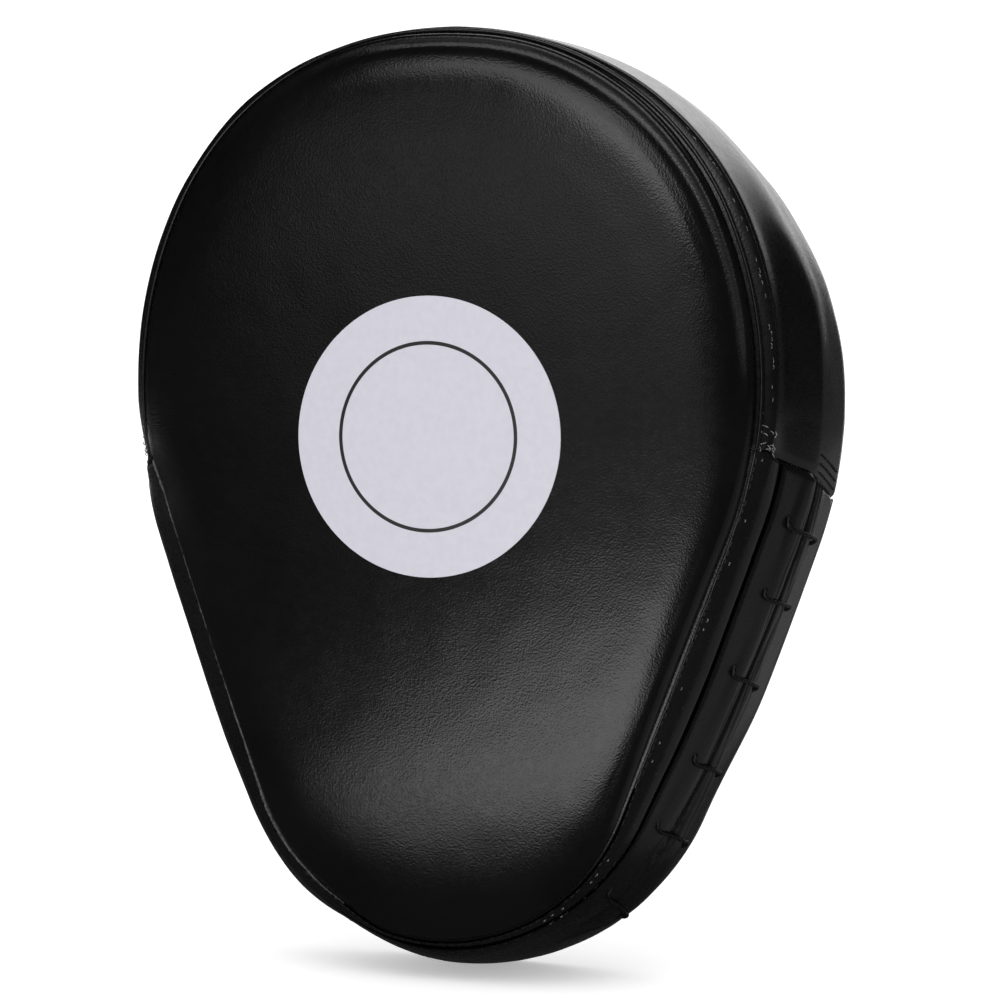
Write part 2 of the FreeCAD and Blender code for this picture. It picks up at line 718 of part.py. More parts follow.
# ---------------------------------------------------------------- wrist strap

def strap_sketch(body):
    return new_sketch(body, "XY_Plane", ("strap_height",))


def strap_pad(body, sketch, *width):
    """Pad to both sides of the strap's middle height."""
    feature = body.newObject("PartDesign::Pad", "Width")
    feature.Profile = sketch
    feature.SideType = "Symmetric"
    feature.setExpression("Length", formula(*width))
    return finish_feature(body, feature)


def arched_strip(label, radius, thickness, start, end, width):
    """Strip bent to an arch concentric with the keeper, with upright ends."""
    body = new_body(label)
    sketch = strap_sketch(body)
    centre = Vector(0, number("strap_crest", "-keeper_radius"), 0)
    radii = (number(*radius), number(*radius, *thickness))
    reach = (number(*start), number(*end))
    for value in radii:
        sketch.addGeometry(arc(centre, value, math.acos(reach[1] / value), math.acos(reach[0] / value)))
    for place in (1, 0):
        corner = [centre + polar(math.acos(reach[place] / value), value) for value in radii]
        sketch.addGeometry(Part.LineSegment(*corner))
    for first, first_end, second, second_end in ((2, START, 0, START), (2, END, 1, START),
                                                  (3, START, 0, END), (3, END, 1, END)):
        sketch.addConstraint(Sketcher.Constraint("Coincident", first, first_end, second, second_end))
    place_point(sketch, "centre", 0, CENTRE, (), ("strap_crest", "-keeper_radius"))
    sketch.addConstraint(Sketcher.Constraint("Coincident", 0, CENTRE, 1, CENTRE))
    dimension(sketch, "inner_radius", radius, "Radius", 0)
    dimension(sketch, "outer_radius", (*radius, *thickness), "Radius", 1)
    for line, terms in ((2, end), (3, start)):
        sketch.addConstraint(Sketcher.Constraint("Vertical", line))
        dimension(sketch, f"end_{line}", terms, "DistanceX", line, START)
    strap_pad(body, sketch, *width)
    return body


def sewn_tab(body, side):
    """Flat end of a strap, sewn to the back of the rim."""
    face = ("rim_depth", "-palm_depth", "fit")
    if side == "thumb":
        inner, outer = ("keeper_end", "-tab"), ("tab_outer",)
    else:
        inner, outer = ("-strap_hinge", "-tab"), ("-tab_outer",)
    sketch = polygon(strap_sketch(body), [(inner, face), (outer, face), (outer, (*face, "tab")),
                                          (inner, (*face, "tab"))])
    strap_pad(body, sketch, "strap_width")


def strap_anchor():
    """Sewn root of the long strap, on the little-finger side of the rim."""
    body = new_body("strap_anchor")
    sewn_tab(body, "little")
    return keep_part(body)


def strap_keeper():
    """Short fixed strap that the long one closes over."""
    body = arched_strip("strap_keeper", ("keeper_radius",), ("strap",), ("keeper_start",),
                        ("keeper_end",), ("strap_width",))
    sewn_tab(body, "thumb")
    return keep_part(body)


LOOP_RADIUS = ("keeper_radius", "strap", "fit")
HOOK_RADIUS = (*LOOP_RADIUS, "patch", "patch_gap")
STRAP_RADIUS = (*HOOK_RADIUS, "patch", "fit")


def wrist_strap():
    """Long strap: concentric with the keeper on the thumb side, tighter down to its hinge."""
    body = new_body("wrist_strap")
    sketch = strap_sketch(body)
    outer = (*STRAP_RADIUS, "strap")
    centre = Vector(0, number("strap_crest", "-keeper_radius"), 0)
    crest = centre.y + number(*STRAP_RADIUS)
    hinge, seat = number("strap_hinge"), number("strap_seat")
    drop = crest - seat
    small = (hinge ** 2 + drop ** 2) / (2 * drop)
    small_centre = Vector(0, crest - small, 0)
    end = number("strap_end")
    for big, little in ((number(*STRAP_RADIUS), small), (number(*outer), small + number("strap"))):
        sketch.addGeometry(arc(centre, big, math.acos(end / big), math.pi / 2))
        sketch.addGeometry(arc(small_centre, little, math.pi / 2, math.acos(-hinge / little)))
    corners = [curve.StartPoint for curve in sketch.Geometry[0::2]]
    sketch.addGeometry(Part.LineSegment(*corners))
    corners = [curve.EndPoint for curve in sketch.Geometry[1:4:2]]
    sketch.addGeometry(Part.LineSegment(*corners))
    for first, first_end, second, second_end in ((0, END, 1, START), (2, END, 3, START),
                                                  (4, START, 0, START), (4, END, 2, START),
                                                  (5, START, 1, END), (5, END, 3, END),
                                                  (0, CENTRE, 2, CENTRE), (1, CENTRE, 3, CENTRE)):
        sketch.addConstraint(Sketcher.Constraint("Coincident", first, first_end, second, second_end))
    place_point(sketch, "centre", 0, CENTRE, (), ("strap_crest", "-keeper_radius"))
    dimension(sketch, "inner_radius", STRAP_RADIUS, "Radius", 0)
    dimension(sketch, "outer_radius", outer, "Radius", 2)
    sketch.addConstraint(Sketcher.Constraint("PointOnObject", 0, END, VERTICAL_AXIS))
    sketch.addConstraint(Sketcher.Constraint("PointOnObject", 2, END, VERTICAL_AXIS))
    sketch.addConstraint(Sketcher.Constraint("PointOnObject", 1, CENTRE, VERTICAL_AXIS))
    place_point(sketch, "seat", 1, END, ("-strap_hinge",), ("strap_seat",))
    dimension(sketch, "end", ("strap_end",), "DistanceX", 0, START)
    sketch.addConstraint(Sketcher.Constraint("Vertical", 4))
    sketch.addConstraint(Sketcher.Constraint("Vertical", 5))
    strap_pad(body, sketch, "strap_width")
    return keep_part(body)


def strap_patches():
    """Hook patch under the long strap and loop patch on the keeper."""
    start = ("keeper_start", "patch_inset")
    end = ("keeper_end", "-patch_inset")
    width = ("strap_width", "-patch_inset", "-patch_inset")
    keep_part(arched_strip("strap_loop_patch", LOOP_RADIUS, ("patch",), start, end, width))
    keep_part(arched_strip("strap_hook_patch", HOOK_RADIUS, ("patch",), start, end, width))


def strap_pull_tab():
    """Moulded tab at the free end, to tear the strap open by."""
    body = new_body("strap_pull_tab")
    reach = " + ".join((*STRAP_RADIUS, "strap"))
    sheet.set("D1", f"=strap_crest - keeper_radius - pull_drop + sqrt(({reach}) ^ 2 - strap_end ^ 2)")
    sheet.setAlias("D1", "pull_seat")
    document.recompute()
    inner = ("strap_end", "fit")
    outer = ("strap_end", "pull_length")
    low = ("pull_seat", "-pull")
    sketch = polygon(strap_sketch(body), [(inner, low), (outer, low), (outer, ("pull_seat",)),
                                          (inner, ("pull_seat",))])
    strap_pad(body, sketch, "pull_width")
    return keep_part(body)


# ---------------------------------------------------------------- assembly

def build():
    fill_sheet()
    face_panel()
    target_film("target_outer_ring", ("target_outer",), ("target_line", "fit"))
    target_film("target_line_ring", ("target_line",), ("bullseye", "fit"))
    target_film("target_bullseye", ("bullseye",))
    strike_foam()
    foam_layer("core_foam", ("fit",), ("core_split",))
    foam_layer("palm_foam", ("core_split", "fit"), ("palm_depth", "-palm_hide", "-fit"))
    palm_panel()
    front_wall_strip()
    side_bands(lace_holes())
    lacing_cord()
    rim_foam()
    rim_cover()
    rim_piping()
    dome("palm_ball_core", ("-hide", "-fit"))
    dome("palm_ball_cover", (), ("-hide",))
    hood_gusset()
    hood_back_panel()
    hood_foam()
    hood_layer("hood_lining", ("hood_foam_inset",),
               ("back_depth", "-hide", "-fit", "-hood_foam", "-fit", "-lining"), ("lining",))
    hood_binding()
    for index in range(5):
        finger_web(index)
    vent_eyelets()
    strap_anchor()
    wrist_strap()
    strap_keeper()
    strap_patches()
    strap_pull_tab()


def check_document():
    document.recompute()
    for item in document.Objects:
        if {"Invalid", "Error"} & set(item.State):
            raise RuntimeError(f"{item.Label} failed: {item.State}")
    for part in exported:
        if part.Shape.isNull() or not part.Shape.isValid() or not part.Shape.Solids:
            raise RuntimeError(f"{part.Label} has no valid solid")


def export():
    os.makedirs("parts", exist_ok=True)
    for part in exported:
        part.Shape.exportStep(os.path.join("parts", part.Label + ".step"))
        box = part.Shape.BoundBox
        print(f"{part.Label:20s} solids {len(part.Shape.Solids)} volume {part.Shape.Volume:10.0f}"
              f"  y {box.YMin:6.1f} {box.YMax:6.1f}  z {box.ZMin:7.1f} {box.ZMax:7.1f}")


build()
check_document()
export()
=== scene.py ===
"""Looks of a focus mitt: a coach's target pad with a laced side, seen from the front and slightly right.

Lengths are in millimetres until a mesh is made. X points to the thumb side, Y to the back of the mitt,
Z to the fingertips. A depth is measured backwards from the seam round the striking face.
"""

import math

import bmesh
import bpy
import numpy as np
from mathutils import Matrix, Vector, noise


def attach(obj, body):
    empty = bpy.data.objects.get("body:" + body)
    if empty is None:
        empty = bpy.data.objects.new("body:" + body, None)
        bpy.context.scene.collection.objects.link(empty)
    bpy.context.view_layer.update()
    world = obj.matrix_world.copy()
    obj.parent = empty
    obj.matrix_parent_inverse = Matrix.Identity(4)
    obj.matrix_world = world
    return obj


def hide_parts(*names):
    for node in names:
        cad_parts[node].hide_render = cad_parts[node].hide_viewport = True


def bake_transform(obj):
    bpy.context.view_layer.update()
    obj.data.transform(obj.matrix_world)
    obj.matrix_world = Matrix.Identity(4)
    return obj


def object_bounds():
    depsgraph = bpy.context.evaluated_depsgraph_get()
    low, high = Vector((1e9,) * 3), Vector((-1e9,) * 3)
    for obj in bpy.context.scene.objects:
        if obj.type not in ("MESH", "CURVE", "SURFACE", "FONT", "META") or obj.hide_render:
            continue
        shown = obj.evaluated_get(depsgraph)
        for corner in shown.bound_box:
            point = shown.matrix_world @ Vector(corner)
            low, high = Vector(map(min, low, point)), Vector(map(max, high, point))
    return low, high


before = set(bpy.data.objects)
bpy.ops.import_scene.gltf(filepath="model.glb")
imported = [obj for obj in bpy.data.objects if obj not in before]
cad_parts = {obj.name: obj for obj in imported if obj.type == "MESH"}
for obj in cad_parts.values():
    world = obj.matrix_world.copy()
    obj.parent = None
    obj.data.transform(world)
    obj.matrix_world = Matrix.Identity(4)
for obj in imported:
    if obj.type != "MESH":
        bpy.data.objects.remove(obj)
cad_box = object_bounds()

MM = 0.001
# Depths of the palm sheet, of the rim pad's foot and of the hood wall's rear edge; height of the middle.
PALM_DEPTH, RIM_DEPTH, CREST_DEPTH = 28, 44, 48
MIDDLE = 5

# ---------------- outline of the mitt

TOP, HALF_WIDTH, SIDE_HEIGHT, BOTTOM = 124.5, 87.7, 30.6, -119.4
TOP_RADIUS, SHOULDER_RADIUS, SIDE_RADIUS, BOTTOM_RADIUS = 139.4, 80.6, 112.7, 56.2


def through(knots, values, x):
    """Smooth curve through values at knots, read at x; a value may differ from point to point."""
    x = np.clip(np.asarray(x, float), knots[0], knots[-1])
    values = [np.broadcast_to(np.asarray(value, float), x.shape) for value in values]
    gaps = np.diff(knots)
    rises = [(b - a) / gap for a, b, gap in zip(values, values[1:], gaps)]
    tangents = [rises[0]]
    for before, after in zip(rises, rises[1:]):
        same_way = before * after > 0
        total = np.where(same_way, before + after, 1)
        tangents.append(np.where(same_way, 2 * before * after / total, 0))
    tangents.append(rises[-1])
    result = np.array(values[0])
    for i, gap in enumerate(gaps):
        t = (x - knots[i]) / gap
        inside = (t >= 0) & (t <= 1)
        curve = ((1 + 2 * t) * (1 - t) ** 2 * values[i] + t * (1 - t) ** 2 * gap * tangents[i]
                 + t * t * (3 - 2 * t) * values[i + 1] + t * t * (t - 1) * gap * tangents[i + 1])
        result = np.where(inside, curve, result)
    return result


def length_along(path):
    """Distance of every point from the first one, along the path."""
    return np.concatenate([[0], np.cumsum(np.linalg.norm(np.diff(path, axis=0), axis=1))])


def smooth_line(points, count):
    """A smooth line of count points through the given ones."""
    points = np.asarray(points, float)
    knots = np.arange(len(points), dtype=float)
    fine = np.linspace(0, len(points) - 1, count)
    return np.stack([through(knots, list(column), fine) for column in points.T], axis=-1)


def arc_run(centre, radius, start, end, count=500):
    """Points and outward normals along an arc."""
    turn = np.linspace(start, end, count)
    normal = np.stack([np.cos(turn), np.sin(turn)], axis=-1)
    return np.concatenate([centre + radius * normal, normal], axis=-1)


def half_seam():
    """Right half of the face seam, from the top to the bottom: x, z, normal x, normal z."""
    top = np.array([0, TOP - TOP_RADIUS])
    side = np.array([HALF_WIDTH - SIDE_RADIUS, SIDE_HEIGHT])
    bottom = np.array([0, BOTTOM + BOTTOM_RADIUS])
    between = side - top
    span = np.linalg.norm(between)
    to_top, to_side = TOP_RADIUS - SHOULDER_RADIUS, SIDE_RADIUS - SHOULDER_RADIUS
    along = (to_top ** 2 - to_side ** 2 + span ** 2) / (2 * span)
    across = math.sqrt(to_top ** 2 - along ** 2)
    step = between / span
    shoulder = top + along * step + across * np.array([step[1], -step[0]])
    fall = side - bottom
    line = math.atan2(fall[1], fall[0]) - math.acos((BOTTOM_RADIUS - SIDE_RADIUS) / np.linalg.norm(fall))
    first = math.atan2(*(shoulder - top)[::-1])
    second = math.atan2(*(shoulder - side)[::-1])
    return np.concatenate([arc_run(top, TOP_RADIUS, math.pi / 2, first),
                           arc_run(shoulder, SHOULDER_RADIUS, first, second),
                           arc_run(side, SIDE_RADIUS, second, line),
                           arc_run(bottom, BOTTOM_RADIUS, line, -math.pi / 2)])


SEAM = half_seam()
SEAM_RUN = length_along(SEAM[:, :2])
HALF = SEAM_RUN[-1]

# How far the side wall stands outside the seam: distance from the top, then values at the last four depths.
WALL_DEPTHS = (0, 3, 8, 23, 40, 54)
WALL = (
    (0, 2.1, 2.7, 2.8, -1.0), (23, 1.6, 1.4, 0.5, -1.5), (50, 2.9, 2.6, 0.9, -1.5),
    (77, 4.4, 4.8, 2.5, -1.0), (97, 5.4, 7.4, 6.0, 2.5), (124, 5.8, 11.4, 10.6, 6.5),
    (151, 5.6, 11.6, 12.4, 8.5), (178, 6.6, 13.4, 13.0, 9.0), (225, 7.4, 13.5, 13.8, 10.0),
    (265, 6.4, 12.9, 11.0, 8.0), (286, 6.0, 12.2, 10.4, 8.0), (306, 5.4, 9.8, 10.6, 8.0),
    (332, 6.2, 9.8, 11.8, 8.0))
# The second depth's value, as a share of the third's, on the hood and on the hand part.
HOOD_SHOULDER, HAND_SHOULDER = 0.92, 0.52
TUCK = 2.4


def signed(s):
    """The same place as a distance from the top between -HALF and HALF."""
    return (np.asarray(s, float) + HALF) % (2 * HALF) - HALF


def tuck(s):
    """How far the seam is drawn in on the little-finger side of the hand part."""
    return TUCK * window(-s, 180, 300, 20)


def seam(s):
    """Seam point and outward normal at a distance from the top, positive on the thumb side."""
    s = signed(s)
    side = np.where(s < 0, -1.0, 1.0)
    x, z, across, up = (np.interp(np.abs(s), SEAM_RUN, SEAM[:, k]) for k in range(4))
    return (x - across * tuck(s)) * side, z - up * tuck(s), across * side, up


def slimmer(s):
    """How much less the wall stands out on the little-finger side."""
    return 1.8 * window(-s, 90, 155, 30) + 1.1 * window(-s, 275, 300, 32)


def bulge(s, depth):
    """How far the wall stands outside the seam."""
    s = signed(s)
    places = [row[0] for row in WALL]
    values = [-tuck(s)]
    for column in range(1, 5):
        values.append(through(places, [row[column] for row in WALL], np.abs(s)))
    shoulder = HOOD_SHOULDER + (HAND_SHOULDER - HOOD_SHOULDER) * ramp(np.abs(s), 150, 175)
    values.insert(1, values[1] * shoulder)
    return through(WALL_DEPTHS, values, depth) + tuck(s) - slimmer(s) * ramp(depth, 0, 5)


def wall(s, depth, lift=0.0):
    """Point on the side wall, with an extra lift along the seam's normal."""
    s, depth, lift = np.broadcast_arrays(np.asarray(s, float), depth, lift)
    x, z, across, up = seam(s)
    out = bulge(s, depth) + lift
    return xyz(x + across * out, depth - PALM_DEPTH, z + up * out)


# Seam across the wall between hood and hand part: height, fall, and drop on the little-finger side.
CROSS_TOP, CROSS_FALL, LITTLE_DROP = 16, 0.33, 8
# Groove and slit: distances from the top and depths there.
GROOVE_START = 9.4
GROOVE_RUN = ((160, 187, 227, 265, 285, 332), (GROOVE_START, 7.6, 7.4, 5.4, 3.8, 2.4))
SLIT_RUN = ((160, 178, 197, 220, 245, 265, 286, 330), (24, 21, 21, 20, 18.5, 15.5, 13, 11))
SLIT_START, SLIT_END = 166, 292


def cross_seam(depth):
    """Distance from the top to the slanting seam between hood and hand part, at each depth."""
    height = CROSS_TOP - CROSS_FALL * np.asarray(depth, float)
    s = np.full(height.shape, 170.0)
    for _ in range(12):
        s = s + wall(s, depth)[..., 2] - height
    return s


def from_top(s):
    """Shortest distance from the top, along the seam."""
    return np.abs(signed(s))


def groove(s):
    """Depth of the groove between front strip and side band."""
    return through(*GROOVE_RUN, from_top(s))


def slit(s):
    """Depth of the laced slit on the thumb side."""
    return through(*SLIT_RUN, from_top(s))


# ---------------- mesh helpers

def bell(x, width):
    """1 at 0, fading to both sides."""
    return np.exp(-(np.asarray(x, float) / width) ** 2)


def ramp(x, start, end):
    """Smooth step from 0 at start to 1 at end."""
    t = np.clip((np.asarray(x, float) - start) / (end - start), 0, 1)
    return t * t * (3 - 2 * t)


def window(x, start, end, soft):
    """1 between start and end, fading to 0 outside them."""
    return ramp(x, start - soft, start) * (1 - ramp(x, end, end + soft))


def wave(points, scale, seed=0.0):
    """Smooth noise between about -1 and 1 at every point; scale is in millimetres."""
    flat = np.asarray(points, float).reshape(-1, 3) / scale + seed
    values = [noise.noise(Vector(point)) for point in flat]
    return np.array(values).reshape(points.shape[:-1])


def clustered(stops, step):
    """Values from the first stop to the last, spaced by each stretch's own step."""
    values = [stops[0]]
    for start, end, size in zip(stops, stops[1:], step):
        count = max(1, round(abs(end - start) / size))
        values.extend(np.linspace(start, end, count + 1)[1:])
    return np.array(values)


def dashes(start, end, length, pitch):
    """Runs of four places, one for each stitch of a row."""
    return [np.linspace(place, place + length, 4) for place in np.arange(start, end - length, pitch)]


def xyz(x, y, z):
    """Points from their coordinates."""
    return np.stack(np.broadcast_arrays(x, y, z), axis=-1)


def from_ends(s):
    """Distance of every column from the nearer end of its row."""
    return np.minimum(s - s[:, :1], s[:, -1:] - s)


def drawn_in(points, share):
    """Points drawn towards the mitt's middle."""
    x, y, z = np.moveaxis(points, -1, 0)
    return xyz(x * share, y, MIDDLE + (z - MIDDLE) * share)


def link_item(name, data):
    """New object in the scene."""
    item = bpy.data.objects.new(name, data)
    bpy.context.scene.collection.objects.link(item)
    return item


def grid_faces(rows, columns, start=0, wrap_columns=False):
    """Quads between neighbouring rows and columns of a grid."""
    faces = []
    for row in range(rows - 1):
        for column in range(columns if wrap_columns else columns - 1):
            a, b = start + row * columns + column, start + row * columns + (column + 1) % columns
            faces.append((a, b, b + columns, a + columns))
    return faces


def make_piece(name, points, faces, material, nodes=(), body="mitt", crease=50):
    """Mesh object from points in millimetres, with outward normals and smooth shading.

    The piece takes its finish from the given material and stands in for the CAD nodes, which are hidden.
    """
    mesh = bpy.data.meshes.new(name)
    mesh.from_pydata((np.asarray(points, float).reshape(-1, 3) * MM).tolist(), [], faces)
    work = bmesh.new()
    work.from_mesh(mesh)
    bmesh.ops.remove_doubles(work, verts=work.verts, dist=2e-6)
    bmesh.ops.dissolve_degenerate(work, edges=work.edges, dist=1e-6)
    bmesh.ops.recalc_face_normals(work, faces=work.faces)
    work.to_mesh(mesh)
    work.free()
    mesh.shade_smooth()
    mesh.set_sharp_from_angle(angle=math.radians(crease))
    mesh.materials.append(material)
    piece = link_item(name, mesh)
    if body:
        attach(piece, body)
    if nodes:
        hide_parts(*nodes)
    return piece


def shell(name, outer, inner, material, slot, nodes=(), fill=None, body="mitt", wrap_columns=False,
          crease=50):
    """Closed piece between two grids of points, joined round their borders."""
    rows, columns = outer.shape[:2]
    count = rows * columns
    points = np.concatenate([outer.reshape(-1, 3), inner.reshape(-1, 3)])
    faces = grid_faces(rows, columns, 0, wrap_columns=wrap_columns)
    faces += [face[::-1] for face in grid_faces(rows, columns, count, wrap_columns=wrap_columns)]
    border = [[row * columns + column for column in range(columns)] for row in (0, rows - 1)]
    if wrap_columns:
        border = [line + line[:1] for line in border]
    else:
        border += [[row * columns + column for row in range(rows)] for column in (0, columns - 1)]
    for line in border:
        faces += [(a, b, b + count, a + count) for a, b in zip(line, line[1:])]
    return make_piece(name, points, faces, material, nodes, body, crease)


def tube_mesh(path, radius, sides):
    """Points and faces of a round tube along a path; radius may change along it."""
    count = len(path)
    radius = np.broadcast_to(np.asarray(radius, float), (count,))
    ahead = np.roll(path, -1, axis=0) - np.roll(path, 1, axis=0)
    ahead[0], ahead[-1] = path[1] - path[0], path[-1] - path[-2]
    ahead /= np.linalg.norm(ahead, axis=1)[:, None]
    turn = np.linspace(0, 2 * math.pi, sides, endpoint=False)[:, None]
    side = np.cross(ahead[0], [0.3, 0.2, 1.0])
    rings = []
    for place, way, size in zip(path, ahead, radius):
        side = side - way * np.dot(side, way)
        side /= np.linalg.norm(side)
        rings.append(place + size * (np.cos(turn) * side + np.sin(turn) * np.cross(way, side)))
    faces = grid_faces(count, sides, wrap_columns=True)
    faces.append(tuple(range(sides))[::-1])
    faces.append(tuple(range((count - 1) * sides, count * sides)))
    return np.concatenate(rings), faces


def tubes(name, paths, radius, material, nodes=(), body="mitt", sides=8):
    """Several round strands as one piece."""
    points, faces = [], []
    for path in paths:
        more, more_faces = tube_mesh(path, radius, sides)
        faces += [tuple(corner + len(points) for corner in face) for face in more_faces]
        points.extend(more)
    return make_piece(name, points, faces, material, nodes, body)


# ---------------- materials

def set_inputs(node, **inputs):
    """Values on a node's inputs; an underscore stands for a space."""
    for socket, value in inputs.items():
        node.inputs[socket.replace("_", " ")].default_value = value


def add_node(tree, kind, vector=None, **inputs):
    """New shader node with values on its inputs."""
    node = tree.nodes.new("ShaderNode" + kind)
    set_inputs(node, **inputs)
    if vector is not None:
        tree.links.new(vector, node.inputs["Vector"])
    return node


def object_place(tree):
    return add_node(tree, "TexCoord").outputs["Object"]


def new_material(name, colour, roughness, **sockets):
    material = bpy.data.materials.new(name)
    material.use_nodes = True
    shader = material.node_tree.nodes["Principled BSDF"]
    set_inputs(shader, Base_Color=(*colour, 1), Roughness=roughness, **sockets)
    return material, shader


def object_noise(tree, scale, detail=3.0, stretch=(1, 1, 1)):
    mapping = add_node(tree, "Mapping", object_place(tree), Scale=stretch)
    return add_node(tree, "TexNoise", mapping.outputs["Vector"], Scale=scale, Detail=detail).outputs["Fac"]


def object_wave(tree, direction, pitch, distortion):
    """Ribs in one direction; the pitch is in millimetres."""
    scale = 2 * math.pi / (20 * pitch * MM)
    ribs = add_node(tree, "TexWave", object_place(tree), Scale=scale, Distortion=distortion)
    ribs.bands_direction = direction
    return ribs.outputs["Fac"]


def remap(tree, value, low, high, out_low, out_high):
    """Value stretched from one span to another."""
    node = add_node(tree, "MapRange", From_Min=low, From_Max=high, To_Min=out_low, To_Max=out_high)
    tree.links.new(value, node.inputs["Value"])
    return node.outputs["Result"]


def tint(tree, shader, value, dark, light):
    """Colour that wanders between two tones."""
    mix = add_node(tree, "Mix")
    mix.data_type = "RGBA"
    set_inputs(mix, A=(*dark, 1), B=(*light, 1))
    tree.links.new(value, mix.inputs["Factor"])
    tree.links.new(mix.outputs["Result"], shader.inputs["Base Color"])


def bump(tree, shader, height, distance, strength=1.0, below=None):
    """Fine relief, on top of another one if that is given."""
    node = add_node(tree, "Bump", Strength=strength, Distance=distance)
    tree.links.new(height, node.inputs["Height"])
    if below is not None:
        tree.links.new(below, node.inputs["Normal"])
    tree.links.new(node.outputs["Normal"], shader.inputs["Normal"])
    return node.outputs["Normal"]


def hide_material(name, tone, roughness, grain, grain_depth, gloss):
    """Coated leather: fine pebbles over a soft, uneven hide."""
    material, shader = new_material(name, tone, roughness, Specular_IOR_Level=gloss)
    tree = material.node_tree
    patches = object_noise(tree, 38, 4)
    tint(tree, shader, remap(tree, patches, 0.35, 0.65, 0, 1), tone, [c * 1.4 for c in tone])
    fine = object_noise(tree, 420, 3)
    tree.links.new(remap(tree, fine, 0.3, 0.7, roughness - 0.02, roughness + 0.03),
                   shader.inputs["Roughness"])
    pebbles = add_node(tree, "TexVoronoi", object_place(tree), Scale=1 / (grain * MM))
    pebbles.feature = "SMOOTH_F1"
    soft = bump(tree, shader, object_noise(tree, 1500, 4, stretch=(1, 1, 0.5)), 0.000030, 0.5)
    bump(tree, shader, pebbles.outputs["Distance"], grain_depth, 0.8, soft)
    return material


def cloth_material(name, dark, light, pitch, depth, roughness=0.85, sheen=0.2):
    """Woven or knitted cloth: two crossing ribs."""
    material, shader = new_material(name, dark, roughness, Sheen_Weight=sheen, Sheen_Roughness=0.5)
    tree = material.node_tree
    weave = add_node(tree, "Math")
    weave.operation = "MULTIPLY"
    for axis, socket in zip("XZ", weave.inputs):
        tree.links.new(object_wave(tree, axis, pitch, 0.6), socket)
    tint(tree, shader, weave.outputs["Value"], dark, light)
    bump(tree, shader, weave.outputs["Value"], depth, 0.8)
    return material


def speckled_material(name, dark, light, scale, depth, roughness, **sockets):
    """Uneven stuff such as foam, rubber, suede or print: noise in tone and height."""
    material, shader = new_material(name, dark, roughness, **sockets)
    tree = material.node_tree
    grain = object_noise(tree, scale, 5)
    tint(tree, shader, remap(tree, grain, 0.35, 0.65, 0, 1), dark, light)
    bump(tree, shader, grain, depth, 0.7)
    return material


def thread_material(name, dark, light, twist=0.5):
    """Twisted thread or cord."""
    material, shader = new_material(name, dark, 0.5, Specular_IOR_Level=0.3)
    tree = material.node_tree
    plies = object_wave(tree, "DIAGONAL", twist, 1.0)
    tint(tree, shader, plies, dark, light)
    bump(tree, shader, plies, 0.00015, 0.7)
    return material


FACE_HIDE = hide_material("face_hide", (0.0026, 0.0026, 0.0027), 0.22, 0.48, 0.00005, 0.30)
SIDE_HIDE = hide_material("side_hide", (0.0030, 0.0030, 0.0032), 0.27, 0.50, 0.00003, 0.50)
BACK_HIDE = hide_material("back_hide", (0.0120, 0.0120, 0.0126), 0.38, 0.80, 0.00014, 0.45)
STRAP_HIDE = hide_material("strap_hide", (0.0130, 0.0130, 0.0137), 0.38, 0.70, 0.00013, 0.45)
SUEDE = speckled_material("palm_suede", (0.030, 0.027, 0.025), (0.060, 0.055, 0.050), 900, 0.0002, 0.95,
                          Sheen_Weight=0.35)
LINING = cloth_material("lining_cloth", (0.015, 0.015, 0.017), (0.045, 0.045, 0.05), 0.8, 0.0001)
TAPE = cloth_material("binding_tape", (0.008, 0.008, 0.009), (0.03, 0.03, 0.032), 0.6, 0.0001, 0.6)
FOAM = speckled_material("core_foam", (0.30, 0.29, 0.26), (0.42, 0.41, 0.37), 1500, 0.0002, 0.95)
LATEX = speckled_material("latex_foam", (0.55, 0.49, 0.33), (0.66, 0.60, 0.42), 1200, 0.0002, 0.9)
PRINT_WHITE = speckled_material("target_white", (0.485, 0.475, 0.532), (0.510, 0.499, 0.558), 500, 0.00003,
                                0.42)
PRINT_BLACK = speckled_material("target_black", (0.004, 0.004, 0.005), (0.007, 0.007, 0.008), 500, 0.00003,
                                0.45)
# Pale grey edge tone: a painted highlight that stands in for the light line along the seam edge.
EDGE_PAINTED_HIGHLIGHT = speckled_material("seam_edge_painted_highlight", (0.020, 0.020, 0.021), (0.090, 0.090, 0.094), 1300, 0.0004, 0.8)
THREAD = thread_material("seam_thread", (0.04, 0.04, 0.044), (0.22, 0.22, 0.24))
DARK_THREAD = thread_material("dark_thread", (0.003, 0.003, 0.003), (0.012, 0.012, 0.013))
# Matte near-black cord that is painted shade: it stands in for the shadow in the groove and along the lower
# seam.
PAINTED_SHADE_CORD, _ = new_material("painted_shade_cord", (0.0006, 0.0006, 0.0006), 1.0, Specular_IOR_Level=0.0)
LACE = thread_material("lacing", (0.0016, 0.0013, 0.0012), (0.006, 0.005, 0.0045), 0.9)
HOOKS = speckled_material("hook_tape", (0.010, 0.010, 0.011), (0.05, 0.05, 0.055), 2600, 0.0005, 0.6)
LOOPS = speckled_material("loop_tape", (0.010, 0.010, 0.011), (0.035, 0.035, 0.038), 1400, 0.0006, 0.95,
                          Sheen_Weight=0.5)
METAL = speckled_material("eyelet_metal", (0.42, 0.42, 0.43), (0.55, 0.55, 0.56), 300, 0.00002, 0.28,
                          Metallic=1.0)
RUBBER = speckled_material("pull_rubber", (0.012, 0.012, 0.013), (0.022, 0.022, 0.024), 1500, 0.00006, 0.5)

# ---------------- striking face

FACE_ROUND = 30
DOME, DOME_HALF_WIDTH, DOME_HALF_HEIGHT, DOME_CENTRE = 4.2, 88, 122, 2.5
LEAN, LEAN_START, LEAN_EASE = 0.024, -25, 6
TARGET_CENTRE = 16.8
FOAM_INSET = 4.4
COLUMNS = 560
